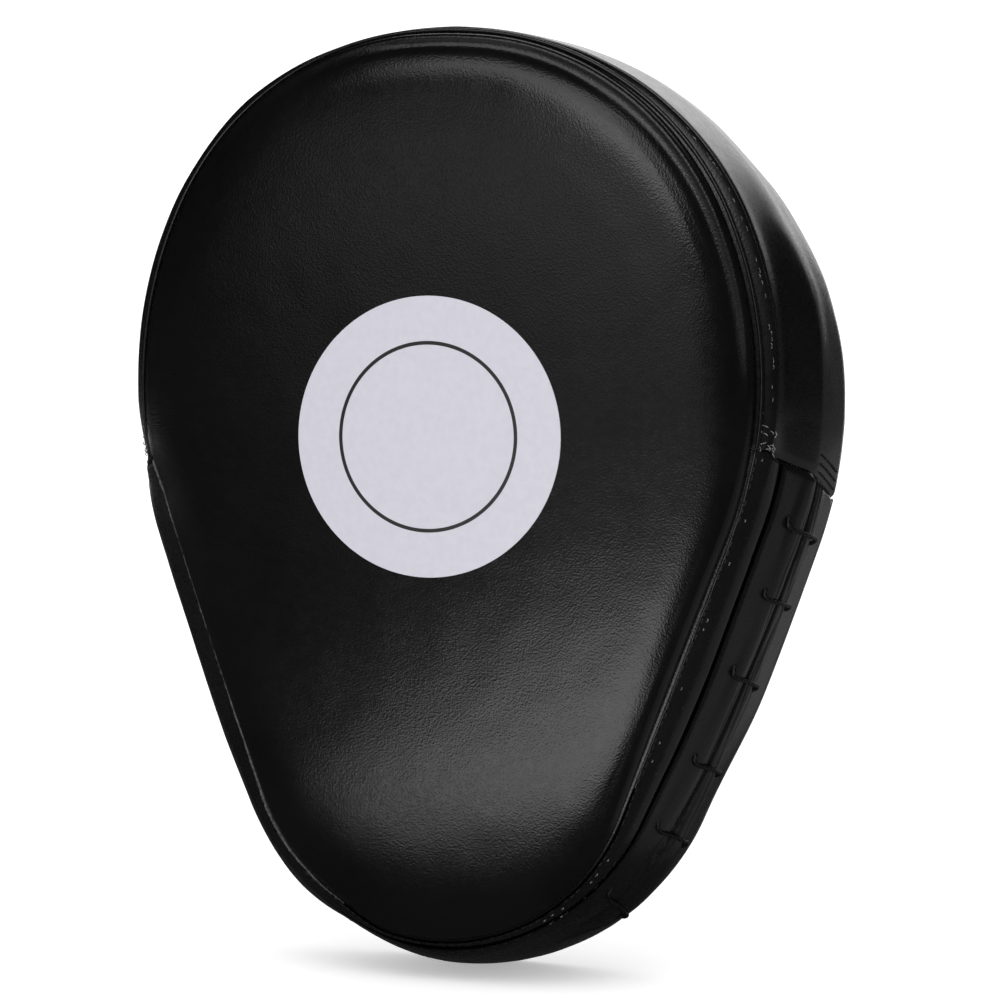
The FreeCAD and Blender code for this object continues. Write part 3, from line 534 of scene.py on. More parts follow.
# Rise of the hide above the seam with the distance inwards: with a raised lip, and as a plain roll.
LIP = ((0, 0.15, 0.35, 0.6, 0.95, 1.5, 2.4, 3.5, 6.0, 9.5, 14, 26),
       (0.0, 1.3, 2.2, 2.8, 3.05, 3.2, 3.15, 3.3, 4.6, 5.65, 6.15, 6.4))
ROLL = ((0, 0.5, 1.2, 2.2, 3.4, 4.8, 6.2, 8, 10.5, 14, 19, 30),
        (0.0, 1.4, 2.5, 3.4, 4.2, 4.8, 5.2, 5.6, 5.9, 6.1, 6.25, 6.4))
FACE_RISE = LIP[1][-1]
ROLL_WIDTH = ((0, 130, 160, 195, 225, 245, 265, 285, 332), (9, 8, 5.2, 3.2, 3.2, 4.6, 7.6, 12, 14))


def lip_share(s):
    """How clearly the rim shows its raised lip: most at the top and the thumb-side shoulder."""
    return 0.25 + 0.75 * window(s, 10, 120, 45) + 0.35 * window(s, -70, 5, 30) * (s < 10)


def face_height(s, inset):
    """Rise of the hide above the seam at a distance inwards from it."""
    share = np.clip(lip_share(s), 0, 1)
    narrower = ROLL_WIDTH[1][0] / through(*ROLL_WIDTH, from_top(s))
    roll = through(*ROLL, inset * narrower)
    roll = roll + (FACE_RISE - roll) * ramp(inset, 6, FACE_ROUND)
    return share * through(*LIP, inset) + (1 - share) * roll


def dome(x, z):
    """Gentle crown of the face, flattest in the middle."""
    away = np.sqrt((x / DOME_HALF_WIDTH) ** 2 + ((z - DOME_CENTRE) / DOME_HALF_HEIGHT) ** 2)
    return DOME * np.clip(1 - away ** 2.4, 0, 1)


def lean(z):
    """How far the lower part of the face leans back."""
    return LEAN * LEAN_EASE * np.log1p(np.exp((LEAN_START - z) / LEAN_EASE))


def face_grid(sink=0.0, shrink=0.0):
    """Rings of the face from the seam to the middle, as a grid."""
    s = np.linspace(-HALF, HALF, COLUMNS, endpoint=False)
    insets = clustered((0, 1.5, 5, 12, FACE_ROUND), (0.15, 0.35, 0.8, 2)) * (1 - shrink / FACE_ROUND) + shrink
    x, z, across, up = seam(s)
    rows = []
    for inset in insets:
        px, pz = x - across * inset, z - up * inset
        rows.append((px, pz, np.full(s.shape, inset)))
    px, pz, _ = rows[-1]
    for share in np.linspace(1, 0, 34)[1:]:
        keep = share + 0.0005
        rows.append((px * keep, MIDDLE + (pz - MIDDLE) * keep, np.full(s.shape, float(FACE_ROUND))))
    px, pz, inset = (np.array([row[k] for row in rows]) for k in range(3))
    height = face_height(s[None, :], inset) * (1 - lean(pz) / FACE_RISE) + dome(px, pz)
    return xyz(px, -PALM_DEPTH - height + sink, pz), inset


def face_piece():
    """Striking hide: one closed sheet with a slight unevenness."""
    outer, inset = face_grid()
    outer[..., 1] -= (0.10 * wave(outer, 26) + 0.05 * wave(outer, 9, 7.0)) * ramp(inset, 2, 12)
    inner, _ = face_grid(sink=1.3, shrink=1.0)
    inner[..., 1] = np.minimum(inner[..., 1], -PALM_DEPTH - 0.05)
    shell("face_hide", outer, inner, FACE_HIDE, "black_hide", ["face_panel"], 0.95, wrap_columns=True)


def print_ring(name, node, slot, material, outer, inner, lift):
    """Printed film that follows the crown of the face."""
    turn = np.linspace(0, 2 * math.pi, 160, endpoint=False)
    radii = clustered((inner, outer), (1.2,)) if outer - inner > 2 else np.linspace(inner, outer, 3)
    if inner == 0:
        radii[0] = 0.02
    x = radii[:, None] * np.sin(turn)
    z = TARGET_CENTRE + radii[:, None] * np.cos(turn)
    top = -PALM_DEPTH - FACE_RISE - dome(x, z) + lean(z)
    outer_grid = xyz(x, top - lift, z)
    inner_grid = xyz(x, top + 0.15, z)
    shell(name, outer_grid, inner_grid, material, slot, [node], wrap_columns=True)


def strike_pad():
    """Foam under the striking hide."""
    top, _ = face_grid(sink=1.7, shrink=2.6)
    base = top.copy()
    base[..., 1] = -PALM_DEPTH - 0.05
    shell("strike_pad", top, base, LATEX, "latex_foam", ["strike_foam"], 1.0, wrap_columns=True)


def foam_block(name, node, front, back):
    """Foam block that follows the side wall from the inside."""
    s = np.linspace(-HALF, HALF, 280, endpoint=False)
    rows = []
    for depth, share in ((front, 0.001), (front, 0.5), (front, 0.97), (front + 1.5, 1.0),
                         ((front + back) / 2, 1.0), (back - 1.5, 1.0), (back, 0.97), (back, 0.5),
                         (back, 0.001)):
        rows.append(drawn_in(wall(s, depth, -FOAM_INSET), share))
    grid = np.array(rows)
    count, columns = grid.shape[:2]
    faces = grid_faces(count, columns, wrap_columns=True)
    faces.append(tuple(range(columns)))
    faces.append(tuple(range((count - 1) * columns, count * columns)))
    make_piece(name, grid, faces, FOAM, [node])


# ---------------- side walls

# Creases beside the slit: distance from it, width, depth.
CREASES = ((-2.4, 0.45, 0.40), (2.0, 0.45, 0.60), (3.7, 0.5, 0.55), (5.6, 0.6, 0.55), (8.2, 0.8, 0.5),
           (-7.0, 1.4, 0.25))
# Folds of the hood's wall: distances from the top, depths there, width, size.
HOOD_FOLDS = (((50, 75, 100, 130), (27, 28, 29, 30), 6.0, 0.22), ((-110, -80, -55), (32, 24, 18), 3.4, 0.5))
LACES = (178.2, 197.2, 220.0, 245.6, 265.6, 286.0)
# One lacing stitch: distance from the slit, lift off the wall, shift along the seam.
LACE_PATH = ((-6.6, -1.4, -3.6), (-7.4, 0.4, -2.9), (-7.7, 1.0, -1.6), (-6.9, 1.3, -0.6), (-4.5, 1.3, -0.2),
             (-1.0, 1.3, 0.1), (2.5, 1.3, 0.6), (5.6, 1.4, 1.2), (8.2, 1.4, 1.6), (9.0, 0.9, 2.6),
             (8.8, -1.2, 3.8))
GROOVE_HALF_WIDTH = 0.3
BEAD_RADIUS = 1.3


def hem(distance, drop=0.9, width=0.8):
    """How far a panel's edge is turned in at a seam."""
    return -drop * bell(distance, width)


def wall_panel(name, s, depth, lift, nodes, fill):
    """Hide on a stretch of the side wall, with a slight swell."""
    points = wall(s, depth)
    swell = 0.16 * wave(points, 17, 3.0) + 0.05 * wave(points, 6, 11.0)
    outer = wall(s, depth, lift + swell * ramp(depth, 0, 6))
    inner = wall(s, depth, np.minimum(lift - 0.8, -2.9))
    shell(name, outer, inner, SIDE_HIDE, "black_hide", nodes, fill)


def lower_run(depth_rows, count=560, trim=0.15):
    """Grid of distances from the thumb-side cross seam round the bottom to the other side."""
    start = cross_seam(depth_rows) + trim
    share = np.linspace(0, 1, count)
    return start[:, None] + (2 * HALF - 2 * start - LITTLE_DROP)[:, None] * share[None, :]


def front_strip():
    """Narrow strip between the face seam and the groove."""
    share = clustered((0.03, 0.25, 0.75, 1), (0.03, 0.05, 0.025))
    s = lower_run(share * GROOVE_START)
    width = groove(s)
    depth = share[:, None] * width
    swell = np.sin(np.clip((share - 0.03) / 0.85, 0, 1) * math.pi)[:, None] ** 0.8
    lift = 0.11 * width * swell - 2.0 * ramp(share, 0.82, 1)[:, None] + hem(from_ends(s))
    wall_panel("wall_strip", s, depth, lift, ["front_wall_strip"], 0.8)


def side_band():
    """Broad band round the hand part, with the laced slit and its creases on the thumb side."""
    share = clustered((0, 0.05, 0.75, 0.95, 1), (0.008, 0.0085, 0.02, 0.01))
    start = GROOVE_START + GROOVE_HALF_WIDTH
    s = lower_run(start + share * (RIM_DEPTH - start))
    first = groove(s) + GROOVE_HALF_WIDTH
    depth = first + share[:, None] * (RIM_DEPTH - first)
    lift = -1.7 * bell(depth - first, 0.7) - 1.2 * bell(depth - RIM_DEPTH, 1.2) + hem(from_ends(s))
    opening = window(s, SLIT_START, SLIT_END, 6)
    from_slit = depth - slit(s)
    lift = lift + opening * (0.9 * bell(from_slit + 4.0, 3.0) + 0.9 * bell(from_slit - 4.5, 3.4)
                             - 2.6 * bell(from_slit, 0.5))
    for index, (place, width, size) in enumerate(CREASES):
        phase = 1.7 * index
        wander = place + 0.55 * np.sin(s / 17 + phase) + 0.25 * np.sin(s / 5.3 + phase)
        strength = 0.55 + 0.45 * np.sin(s / 7.1 + phase)
        lift = lift - window(s, 170, 300, 9) * size * strength * bell(from_slit - wander, width)
    wall_panel("side_band", s, depth, lift, ["side_band_front", "side_band_rear"], 0.8)


def hood_wall():
    """Wall of the hood, with a narrow turned strip at the seam and long soft folds."""
    depth_rows = clustered((0.25, 4, 10, 42, CREST_DEPTH), (0.22, 0.5, 0.9, 0.5))
    reach = cross_seam(depth_rows) - 0.15
    share = np.linspace(0, 1, 620)
    s = -reach[:, None] - LITTLE_DROP + (2 * reach + LITTLE_DROP)[:, None] * share[None, :]
    depth = np.broadcast_to(depth_rows[:, None], s.shape)
    lift = -1.6 * bell(depth - 0.3, 1.1) + hem(from_ends(s)) - 1.0 * bell(depth - CREST_DEPTH, 1.2)
    lift = lift - 0.35 * bell(depth - 3.5, 0.5) * window(s, -40, 110, 25)
    for places, depths, width, size in HOOD_FOLDS:
        away = depth - through(places, depths, s)
        fold = size * (bell(away + width, width) - bell(away, width * 0.8))
        lift = lift + fold * window(s, places[0], places[-1], 12)
    wall_panel("hood_wall", s, depth, lift, ["hood_gusset"], 0.6)


def stitch_row(name, run, depth, lift, length, gap, radius, material, keep, seed):
    """Short stitches along the seam, uneven in length; only a share of them is kept."""
    random = np.random.default_rng(seed)
    paths = []
    s, end = run
    while s + length < end:
        long = length * random.uniform(0.7, 1.15)
        if random.uniform() < keep:
            spots = np.linspace(s, s + long, 5)
            arch = 0.16 * np.sin(np.linspace(0, math.pi, 5))
            paths.append(wall(spots, depth + random.uniform(-0.12, 0.12), lift + arch))
        s += long + gap * random.uniform(0.7, 1.4)
    tubes(name, paths, radius, material, sides=6)


def seam_rows():
    """Threads and edges of the seam round the face, with a pale edge strand as painted highlight and matte
    black cords as painted shade in the groove and along the lower seam.
    """
    low = float(cross_seam(np.array(1.0)))
    lower = (low + 2, 2 * HALF - low - LITTLE_DROP - 2)
    thumb = (low + 2, HALF - 20)
    for seed, (name, run, depth, lift, length, gap, radius, material, keep) in enumerate((
            ("seam_stitches", thumb, 1.35, 0.5, 0.8, 1.9, 0.14, THREAD, 0.30),
            ("seam_stitches_dark", lower, 0.5, 0.5, 1.5, 0.8, 0.24, DARK_THREAD, 0.9),
            ("strip_stitches", thumb, 2.9, 0.45, 0.7, 3.6, 0.13, THREAD, 0.25),
            ("strip_stitches_dark", lower, 2.9, 0.45, 1.3, 2.4, 0.18, DARK_THREAD, 0.9),
            ("hood_seam_thread", (70, low - 8), 1.9, -0.05, 1.2, 0.5, 0.08, THREAD, 0.55),
            ("hood_seam_thread_inner", (84, low - 4), 0.5, 0.5, 1.8, 1.2, 0.08, THREAD, 0.6)), start=3):
        stitch_row(name, run, depth, lift, length, gap, radius, material, keep, seed)
    s = np.linspace(low + 0.5, 2 * HALF - low - LITTLE_DROP - 0.5, 700)
    # The hand seam's edge strand takes the pale tone as a painted highlight, thickest on the little-finger
    # side.
    edge = wall(s, 0.35, 0.35 + 0.12 * np.sin(s / 3.1) * np.sin(s / 7.7))
    cord = np.linspace(-low - LITTLE_DROP + 0.5, low - 0.5, 700)
    welt = wall(cord, 0.6, 0.25)
    radius = 0.09 + 0.45 * ramp(s, HALF + 25, HALF + 60) * (1 + 0.2 * np.sin(s * 2.3) * np.sin(s * 0.9))
    tubes("hand_seam_edge", [edge], radius, EDGE_PAINTED_HIGHLIGHT)
    start = float(cross_seam(np.array(GROOVE_START)))
    run = np.linspace(start + 1, 2 * HALF - start - LITTLE_DROP - 1, 700)
    thick = through((0, 250, 285, 332, 372, 420), (0.78, 0.85, 1.1, 1.1, 0.8, 0.6), run)
    # The two black cords below are painted shade, laid where the groove and the lower seam hold only shadow.
    low_seam = np.linspace(255, HALF + 28, 240)
    tubes("groove_painted_shade", [wall(run, groove(run) + 0.15, -0.85)], thick, PAINTED_SHADE_CORD, sides=10)
    tubes("low_seam_painted_shade", [wall(low_seam, 0.35, 0.38)], 0.30, PAINTED_SHADE_CORD)
    tubes("hood_seam_welt", [welt], 0.6, SIDE_HIDE, sides=10)


def corner_threads():
    """Topstitch rows and loose thread ends where the cross seam meets the face seam."""
    rows, ends = [], []
    random = np.random.default_rng(11)
    for side, drop in ((1, 0), (-1, LITTLE_DROP)):
        for back in (1.2, 3.4, 5.6):
            for span in dashes(24.5, 40.7, 1.7, 2.3):
                s = cross_seam(span) + drop - back
                rows.append(wall(side * s, span, 0.05 + 0.14 * np.sin(np.linspace(0, math.pi, 4))))
        for _ in range(15):
            depth = random.uniform(0.5, 3.6)
            s = 160 + drop - random.uniform(0, 13) * (1 - depth / 6)
            turn = random.uniform(0, 2 * math.pi)
            span = np.linspace(0, 1, 5)
            along = s + random.uniform(0.8, 1.8) * span * math.cos(turn)
            across = depth + random.uniform(0.5, 1.3) * span * math.sin(turn)
            ends.append(wall(side * along, np.clip(across, 0.3, 8), 0.1 + 0.45 * np.sin(span * math.pi)))
    tubes("corner_topstitch", rows, 0.24, DARK_THREAD, sides=6)
    tubes("corner_thread_ends", ends, 0.13, THREAD, sides=6)


def rim_bead():
    """Bound edge between the band and the padded rim."""
    start = float(cross_seam(np.array(45.0)))
    s = np.linspace(start, 2 * HALF - start, 500)
    path = wall(s, RIM_DEPTH + BEAD_RADIUS, -1.1)
    tubes("rim_bead", [path], BEAD_RADIUS, TAPE, ["rim_piping"], sides=12)


def lacing():
    """Six crossing stitches that close the slit on the thumb side."""
    paths = []
    for index, s in enumerate(LACES):
        tighter, slant = 1 - 0.06 * index, 1 - 0.12 * math.sin(2.1 * index)
        curve = np.array([wall(s + along * slant, slit(s) + across * tighter, lift)
                          for across, lift, along in LACE_PATH])
        paths.append(smooth_line(curve, 44))
    tubes("lacing", paths, 0.58, LACE, ["lacing_cord"], sides=10)


# ---------------- back of the mitt

MOUTH_RADIUS, MOUTH_HEIGHT = 190, 24
STALL_PITCH = 22
EYELETS = [((index - 1.5) * STALL_PITCH, 88) for index in range(4)]
EYELET_SEAT = 8.95
# Rise of the hood's back behind its edge with the distance inwards.
HOOD_RISE = ((0, 0.8, 2.5, 5, 8, 12, 18, 30, 40), (0, 2.4, 5.2, 7.4, 8.7, 9.5, 10.1, 10.6, 10.7))
# Section of the tape round the hood's mouth: height above the edge, and y.
BINDING = ((7.0, 29.75), (5.0, 30.05), (2.0, 30.1), (-0.4, 29.7), (-1.5, 28.3), (-1.8, 26.0), (-1.6, 23.6),
           (-0.8, 22.0), (1.0, 21.4), (4.0, 21.3), (7.0, 21.4))
BINDING_MIDDLE, TAPE_THICKNESS = 25.8, 0.8
# Section of the padded rim: distance inwards, and y.
RIM_START = 172.0
RIM_SECTION = ((0.9, 15.7), (1.6, 15.95), (3.5, 16.0), (7, 16.0), (11, 15.9), (15, 15.2), (18.5, 13.4),
               (21.5, 10.2), (23.6, 6.6), (24.8, 3.2), (25.3, 0.4))
# Section of the palm ball: radius, and y.
BALL_HEIGHT = -30
BALL_SECTION = ((31.6, 0.15), (31.5, 0.9), (30.4, 1.3), (28.8, 1.9), (26, 4.1), (21, 7.4), (15, 9.9),
                (8, 11.4), (3, 11.9), (0.02, 12.0))


def mouth_arch(x, above=0.0):
    """Height of the hood's curved mouth."""
    return MOUTH_HEIGHT - MOUTH_RADIUS + np.sqrt((MOUTH_RADIUS + above) ** 2 - np.asarray(x, float) ** 2)


def hood_grid(inset, rows):
    """Columns from the hood's outline down to its mouth, and the distance run along each."""
    half = 183.0
    for _ in range(20):
        x, _, z = wall(half, CREST_DEPTH, -inset)
        half += z - mouth_arch(x)
    s = np.linspace(-half, half, 300)
    top = wall(s, CREST_DEPTH, -inset)
    mouth_x = np.interp(s, (-half, half), (top[0, 0], top[-1, 0]))
    low = xyz(mouth_x, top[:, 1], mouth_arch(mouth_x))
    share = rows[:, None, None]
    return top * (1 - share) + low * share, np.linalg.norm(low - top, axis=-1) * rows[:, None]


def hood_back():
    """Padded back of the hood, calm and level round each eyelet."""
    rows = np.concatenate([np.linspace(0, 0.12, 22), np.linspace(0.12, 1, 60)[1:]])
    grid, run = hood_grid(0.6, rows)
    to_mouth = grid[..., 2] - mouth_arch(grid[..., 0])
    height = through(*HOOD_RISE, run) - 1.5 * bell(to_mouth, 9)
    near = 0
    for x, z in EYELETS:
        away = np.hypot(grid[..., 0] - x, grid[..., 2] - z)
        hold = 1 - ramp(away, 5.8, 15)
        height = height * (1 - hold) + EYELET_SEAT * hold
        near = near + 1 - ramp(away, 6, 14)
    outer = grid.copy()
    outer[..., 1] += height
    uneven = ramp(run, 2, 14) * (1 - 0.9 * near)
    outer[..., 1] += (0.25 * wave(outer, 22, 5.0) + 0.10 * wave(outer, 8, 2.0)) * uneven
    inner, _ = hood_grid(1.9, rows)
    inner[..., 1] = np.maximum(outer[..., 1] - 1.3, inner[..., 1])
    shell("hood_back", outer, inner, BACK_HIDE, "black_hide", ["hood_back_panel"], 0.7)


def hood_layers():
    """Foam and lining of the hood's back."""
    rows = np.linspace(0, 1, 30)
    for name, node, slot, material, inset, base, thick, dip in (
            ("hood_pad", "hood_foam", "core_foam", FOAM, 8.0, 23.3, 4.2, 0.0),
            ("hood_lining_cloth", "hood_lining", "lining_cloth", LINING, 6.0, 22.3, 0.8, 0.25)):
        outer, _ = hood_grid(inset, rows)
        inner = outer.copy()
        inner[..., 1] = base + np.minimum(dip * wave(outer, 15, 4.0), 0)
        outer[..., 1] = base + thick
        shell(name, outer, inner, material, slot, [node], 0.5)


def mouth_binding():
    """Tape folded over the mouth of the hood, with its stitch row."""
    x = np.linspace(-86, 86, 240)
    outer = np.array([xyz(x, y, mouth_arch(x, above)) for above, y in BINDING])
    outer[..., 1] += 0.12 * wave(outer, 7, 9.0)
    inner = outer.copy()
    for index, (above, y) in enumerate(BINDING):
        if above <= 1:
            inner[index, :, 2] = mouth_arch(x, above + 0.9)
        inner[index, :, 1] += TAPE_THICKNESS if y < BINDING_MIDDLE else -TAPE_THICKNESS
    shell("mouth_binding", outer, inner, TAPE, "binding_tape", ["hood_binding"])
    paths = [xyz(run, 30.05, mouth_arch(run, 5.4)) for run in dashes(-83, 84.3, 2.3, 3.2)]
    tubes("binding_stitches", paths, 0.24, THREAD, sides=6)


def under_strap(s):
    """1 where the wrist strap crosses the rim."""
    return np.maximum(window(s, 214, 262, 10), window(2 * HALF - s, 214, 262, 10))


def rim_pad():
    """Padded roll of hide round the palm, with its stitch row."""
    s = np.linspace(RIM_START, 2 * HALF - RIM_START, 420)
    section = smooth_line(RIM_SECTION, 41)
    puff = np.sin(np.linspace(0, math.pi, len(section)))
    swell = 1.6 * (1 - under_strap(s))
    outer, inner = [], []
    for (inset, height), puffed in zip(section, puff):
        ring = wall(s, RIM_DEPTH, -inset)
        ring[:, 1] = height + puffed * swell
        outer.append(ring)
        under = wall(s, RIM_DEPTH, -(0.9 + (inset - 0.9) * 0.92))
        under[:, 1] = np.clip(height - 1.4, -0.9, 13.5)
        inner.append(under)
    outer, inner = np.array(outer), np.array(inner)
    outer[..., 1] += 0.25 * wave(outer, 16, 6.0) * puff[:, None]
    shell("rim_pad", outer, inner, BACK_HIDE, "black_hide", ["rim_cover", "rim_foam"], 0.8)
    paths = []
    for run in dashes(RIM_START + 6, 2 * HALF - RIM_START - 6, 2.6, 3.7):
        ring = wall(run, RIM_DEPTH, -3.6)
        ring[:, 1] = 16.35 + 0.35 * (1 - under_strap(run))
        paths.append(ring)
    tubes("rim_stitches", paths, 0.24, DARK_THREAD, sides=6)


def palm_sheet():
    """Suede sheet the hand rests on, a little uneven."""
    s = np.linspace(-HALF, HALF, 260, endpoint=False)
    shares = np.concatenate([[1.0, 0.985], np.linspace(0.96, 0.0005, 40)])
    outer = np.array([drawn_in(wall(s, 27.0, -2.9), share) for share in shares])
    outer[..., 1] = -0.15
    outer[..., 1] += 0.12 * wave(outer, 14, 8.0)
    inner = outer.copy()
    inner[..., 1] = -1.1
    shell("palm_sheet", outer, inner, SUEDE, "palm_suede", ["palm_panel"], wrap_columns=True)


def palm_ball():
    """Low dome that fills the hollow of the hand, with a crossed seam and a stitched foot."""
    turn = np.linspace(0, 2 * math.pi, 180, endpoint=False)
    radii, heights = smooth_line(BALL_SECTION, 60).T
    x = radii[:, None] * np.sin(turn)
    z = radii[:, None] * np.cos(turn)
    y = np.broadcast_to(heights[:, None], x.shape).copy()
    y -= 0.7 * bell(x - 0.004 * z ** 2, 0.55) * ramp(radii, 2, 5)[:, None] * (radii < 29)[:, None]
    outer = xyz(x, y, BALL_HEIGHT + z)
    outer[..., 1] += 0.12 * wave(outer, 11, 1.0) * (radii < 28)[:, None]
    inner = outer.copy()
    inner[..., 1] = np.maximum(outer[..., 1] - 1.2, 0.12)
    shell("palm_ball_hide", outer, inner, BACK_HIDE, "black_hide", ["palm_ball_cover"], 0.9,
          wrap_columns=True)
    core = outer.copy()
    core[..., 0] *= 0.93
    core[..., 2] = BALL_HEIGHT + z * 0.93
    core[..., 1] = np.maximum(outer[..., 1] - 1.5, 0.12)
    base = core.copy()
    base[..., 1] = 0.1
    shell("palm_ball_foam", core, base, FOAM, "core_foam", ["palm_ball_core"], 0.9, wrap_columns=True)
    paths = []
    for start in np.linspace(0, 2 * math.pi, 64, endpoint=False):
        run = start + np.linspace(0, 0.062, 4)
        paths.append(xyz(30.2 * np.sin(run), 1.5, BALL_HEIGHT + 30.2 * np.cos(run)))
    tubes("palm_ball_stitches", paths, 0.22, DARK_THREAD, sides=6)


def stall_webs():
    """Cloth partitions between the finger stalls, each bowed a little and hemmed at its free edge."""
    high = 22.2
    z = np.concatenate([np.linspace(32, 34.5, 8), np.linspace(34.5, 106, 34)[1:]])
    yy, zz = np.meshgrid(np.linspace(0.15, high, 16), z)
    thick = 0.45 + 0.55 * (1 - ramp(zz, 33.6, 34.8))
    for index, node in enumerate(("little_outer_web", "ring_little_web", "middle_ring_web",
                                  "index_middle_web", "thumb_web")):
        bow = 1.5 * math.cos(index * 1.7) * ramp(zz, 30, 50) + 0.3 * np.sin(zz / 7 + index)
        x = (index - 2) * STALL_PITCH + bow * np.sin(yy / high * math.pi)
        left = xyz(x - thick, yy, zz)
        right = xyz(x + thick, yy, zz)
        shell(node + "_cloth", right, left, LINING, "lining_cloth", [node])


# ---------------- wrist strap

STRAP_HEIGHT, STRAP_HALF, STRAP_THICKNESS, KEEPER_THICKNESS = -58, 19, 1.7, 1.6
# Centre and radius of the arches: the keeper, the strap's inner side over it, and the strap's root side.
KEEPER_CENTRE, KEEPER_RADIUS, OVER_RADIUS = -75.5, 107.5, 111.65
ROOT_CENTRE, ROOT_RADIUS = -52.48, 88.63
PATH_STEP = 1.1


def side_ways(path):
    """Unit normals of a path in x and y, on its left."""
    ahead = np.gradient(path, axis=0)
    ahead /= np.linalg.norm(ahead, axis=1)[:, None]
    return np.stack([-ahead[:, 1], ahead[:, 0]], axis=-1)


def band(name, path, half_width, thickness, material, end_round=0.0, puff=0.35, body="mitt"):
    """Flat strap along a path in x and y: rounded edges, a soft middle and sewn channels."""
    normal = side_ways(path)
    run = length_along(path)
    across = np.concatenate([np.linspace(-1, -0.9, 7), np.linspace(-0.9, 0.9, 37)[1:-1],
                             np.linspace(0.9, 1, 7)])
    rim = np.sqrt(np.clip(1 - np.clip((np.abs(across) - 0.93) / 0.07, 0, 1) ** 2, 0, 1))
    channel = bell((np.abs(across) - 0.84) * half_width, 0.6)
    full = puff * (1 - across ** 2) - 0.35 * channel
    near_end = np.minimum(run, run[-1] - run)
    width = np.full(run.shape, float(half_width))
    if end_round:
        ease = np.clip((run[-1] - run) / end_round, 0, 1)
        width = half_width - end_round * (1 - np.sqrt(1 - (1 - ease) ** 2))
    close = np.sqrt(np.clip(1 - (1 - np.clip(near_end / 0.8, 0, 1)) ** 2, 0.02, 1))
    close = close[:, None]
    middle = path + normal * thickness / 2
    z = STRAP_HEIGHT + across * width[:, None]
    sides = []
    for sign, swell in ((1, full), (-1, 0)):
        out = (sign * thickness / 2 * rim + swell) * close
        spot = middle[:, None] + normal[:, None] * out[..., None]
        sides.append(np.concatenate([spot, z[..., None]], axis=-1))
    return shell(name, *sides, material, "strap_hide", body=body, crease=60)


def arch(centre, radius, start, end, count):
    """Points of an arch over the wrist, in x and y."""
    x = np.linspace(start, end, count)
    return np.stack([x, centre + np.sqrt(radius ** 2 - x ** 2)], axis=-1)


def strap_path():
    """Under side of the long strap: sewn root, fold, arch over the wrist, free end on the thumb side."""
    root = [[-64.0, 16.15], [-62, 16.15], [-60, 16.18], [-58.2, 16.35], [-56.6, 16.9], [-55.2, 17.7]]
    left = arch(ROOT_CENTRE, ROOT_RADIUS, -53.5, -0.5, 60)
    right = arch(KEEPER_CENTRE, OVER_RADIUS, 0.5, 58, 60)
    return resample(np.concatenate([root, left, right]), PATH_STEP)


def resample(path, step):
    """The same path with points about a step apart."""
    run = length_along(path)
    places = np.linspace(0, run[-1], max(3, round(run[-1] / step)))
    return np.stack([np.interp(places, run, path[:, k]) for k in range(path.shape[1])], axis=-1)


def strap_pieces():
    """Long strap with its thread rows and pull tab, and the keeper it closes on."""
    path = strap_path()
    strap = band("wrist_strap_hide", path, STRAP_HALF, STRAP_THICKNESS, STRAP_HIDE, end_round=7, body=None)
    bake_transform(strap)
    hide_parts("wrist_strap", "strap_anchor")
    keeper_arch = arch(KEEPER_CENTRE, KEEPER_RADIUS, 15, 53.2, 50)
    tab = np.array([[54.6, 16.75], [56.2, 16.3], [58, 16.15], [61, 16.15], [64, 16.15]])
    keeper_path = resample(np.concatenate([keeper_arch, tab]), PATH_STEP)
    keeper = band("keeper_hide", keeper_path, STRAP_HALF, KEEPER_THICKNESS, STRAP_HIDE, puff=0.0)
    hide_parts("strap_keeper")
    thread_rows(path)
    pull_tab(path)


def thread_rows(path):
    """Stitch rows along both edges of the long strap and two across its sewn root."""
    top = path + side_ways(path) * (STRAP_THICKNESS + 0.02)
    run = length_along(top)
    for name, body, start, end in (("strap_stitches", "strap", 19.0, run[-1] - 6),
                                   ("root_stitches", "mitt", 1.5, 7.2)):
        paths = []
        for z in (STRAP_HEIGHT - 16, STRAP_HEIGHT + 16):
            for spots in dashes(start, end, 2.4, 3.4):
                x, y = (np.interp(spots, run, top[:, k]) for k in (0, 1))
                paths.append(xyz(x, y, z))
        if body == "mitt":
            for z in np.arange(STRAP_HEIGHT - 14, STRAP_HEIGHT + 13, 3.4):
                for x in (-63.0, -58.6):
                    y = np.interp(x, top[:, 0], top[:, 1])
                    paths.append(np.array([[x, y, z], [x, y + 0.1, z + 1.2], [x, y, z + 2.4]]))
        tubes(name, paths, 0.22, THREAD, body=body, sides=6)


def pull_tab(path):
    """Ribbed moulded tab past the strap's free end."""
    x = np.linspace(55.5, 67, 40)
    z = np.linspace(-11, 11, 30)
    xx, zz = np.meshgrid(x, z, indexing="ij")
    corner = np.clip((xx - 62) / 5, 0, 1)
    squeeze = 1 - 0.28 * corner ** 3
    ribs = 0.35 * np.clip(np.sin((xx - 59) * 2 * math.pi / 2.1), 0, 1) * window(xx, 59.2, 65.5, 0.4) * (
        np.abs(zz) < 8.6)
    edge = 1 - np.clip(np.maximum(np.abs(zz) - 10, xx - 66), 0, 1) ** 2 * 0.8
    mid = np.interp(xx, (55.5, 58, 67), (20.6, 19.4, 18.9))
    top = xyz(xx, mid + (1.0 + ribs) * edge, STRAP_HEIGHT + zz * squeeze)
    low = xyz(xx, mid - 0.55 * edge, STRAP_HEIGHT + zz * squeeze)
    shell("pull_tab_ribbed", top, low, RUBBER, "pull_rubber", ["strap_pull_tab"], body="strap")


# ---------------- carried-over nodes, stage, camera

def finish_cad_nodes():
    """Materials for the nodes kept as the CAD has them."""
    for node, material in (("vent_eyelets", METAL), ("strap_loop_patch", LOOPS), ("strap_hook_patch", HOOKS)):
        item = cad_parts[node]
        item.data.materials.clear()
        item.data.materials.append(material)


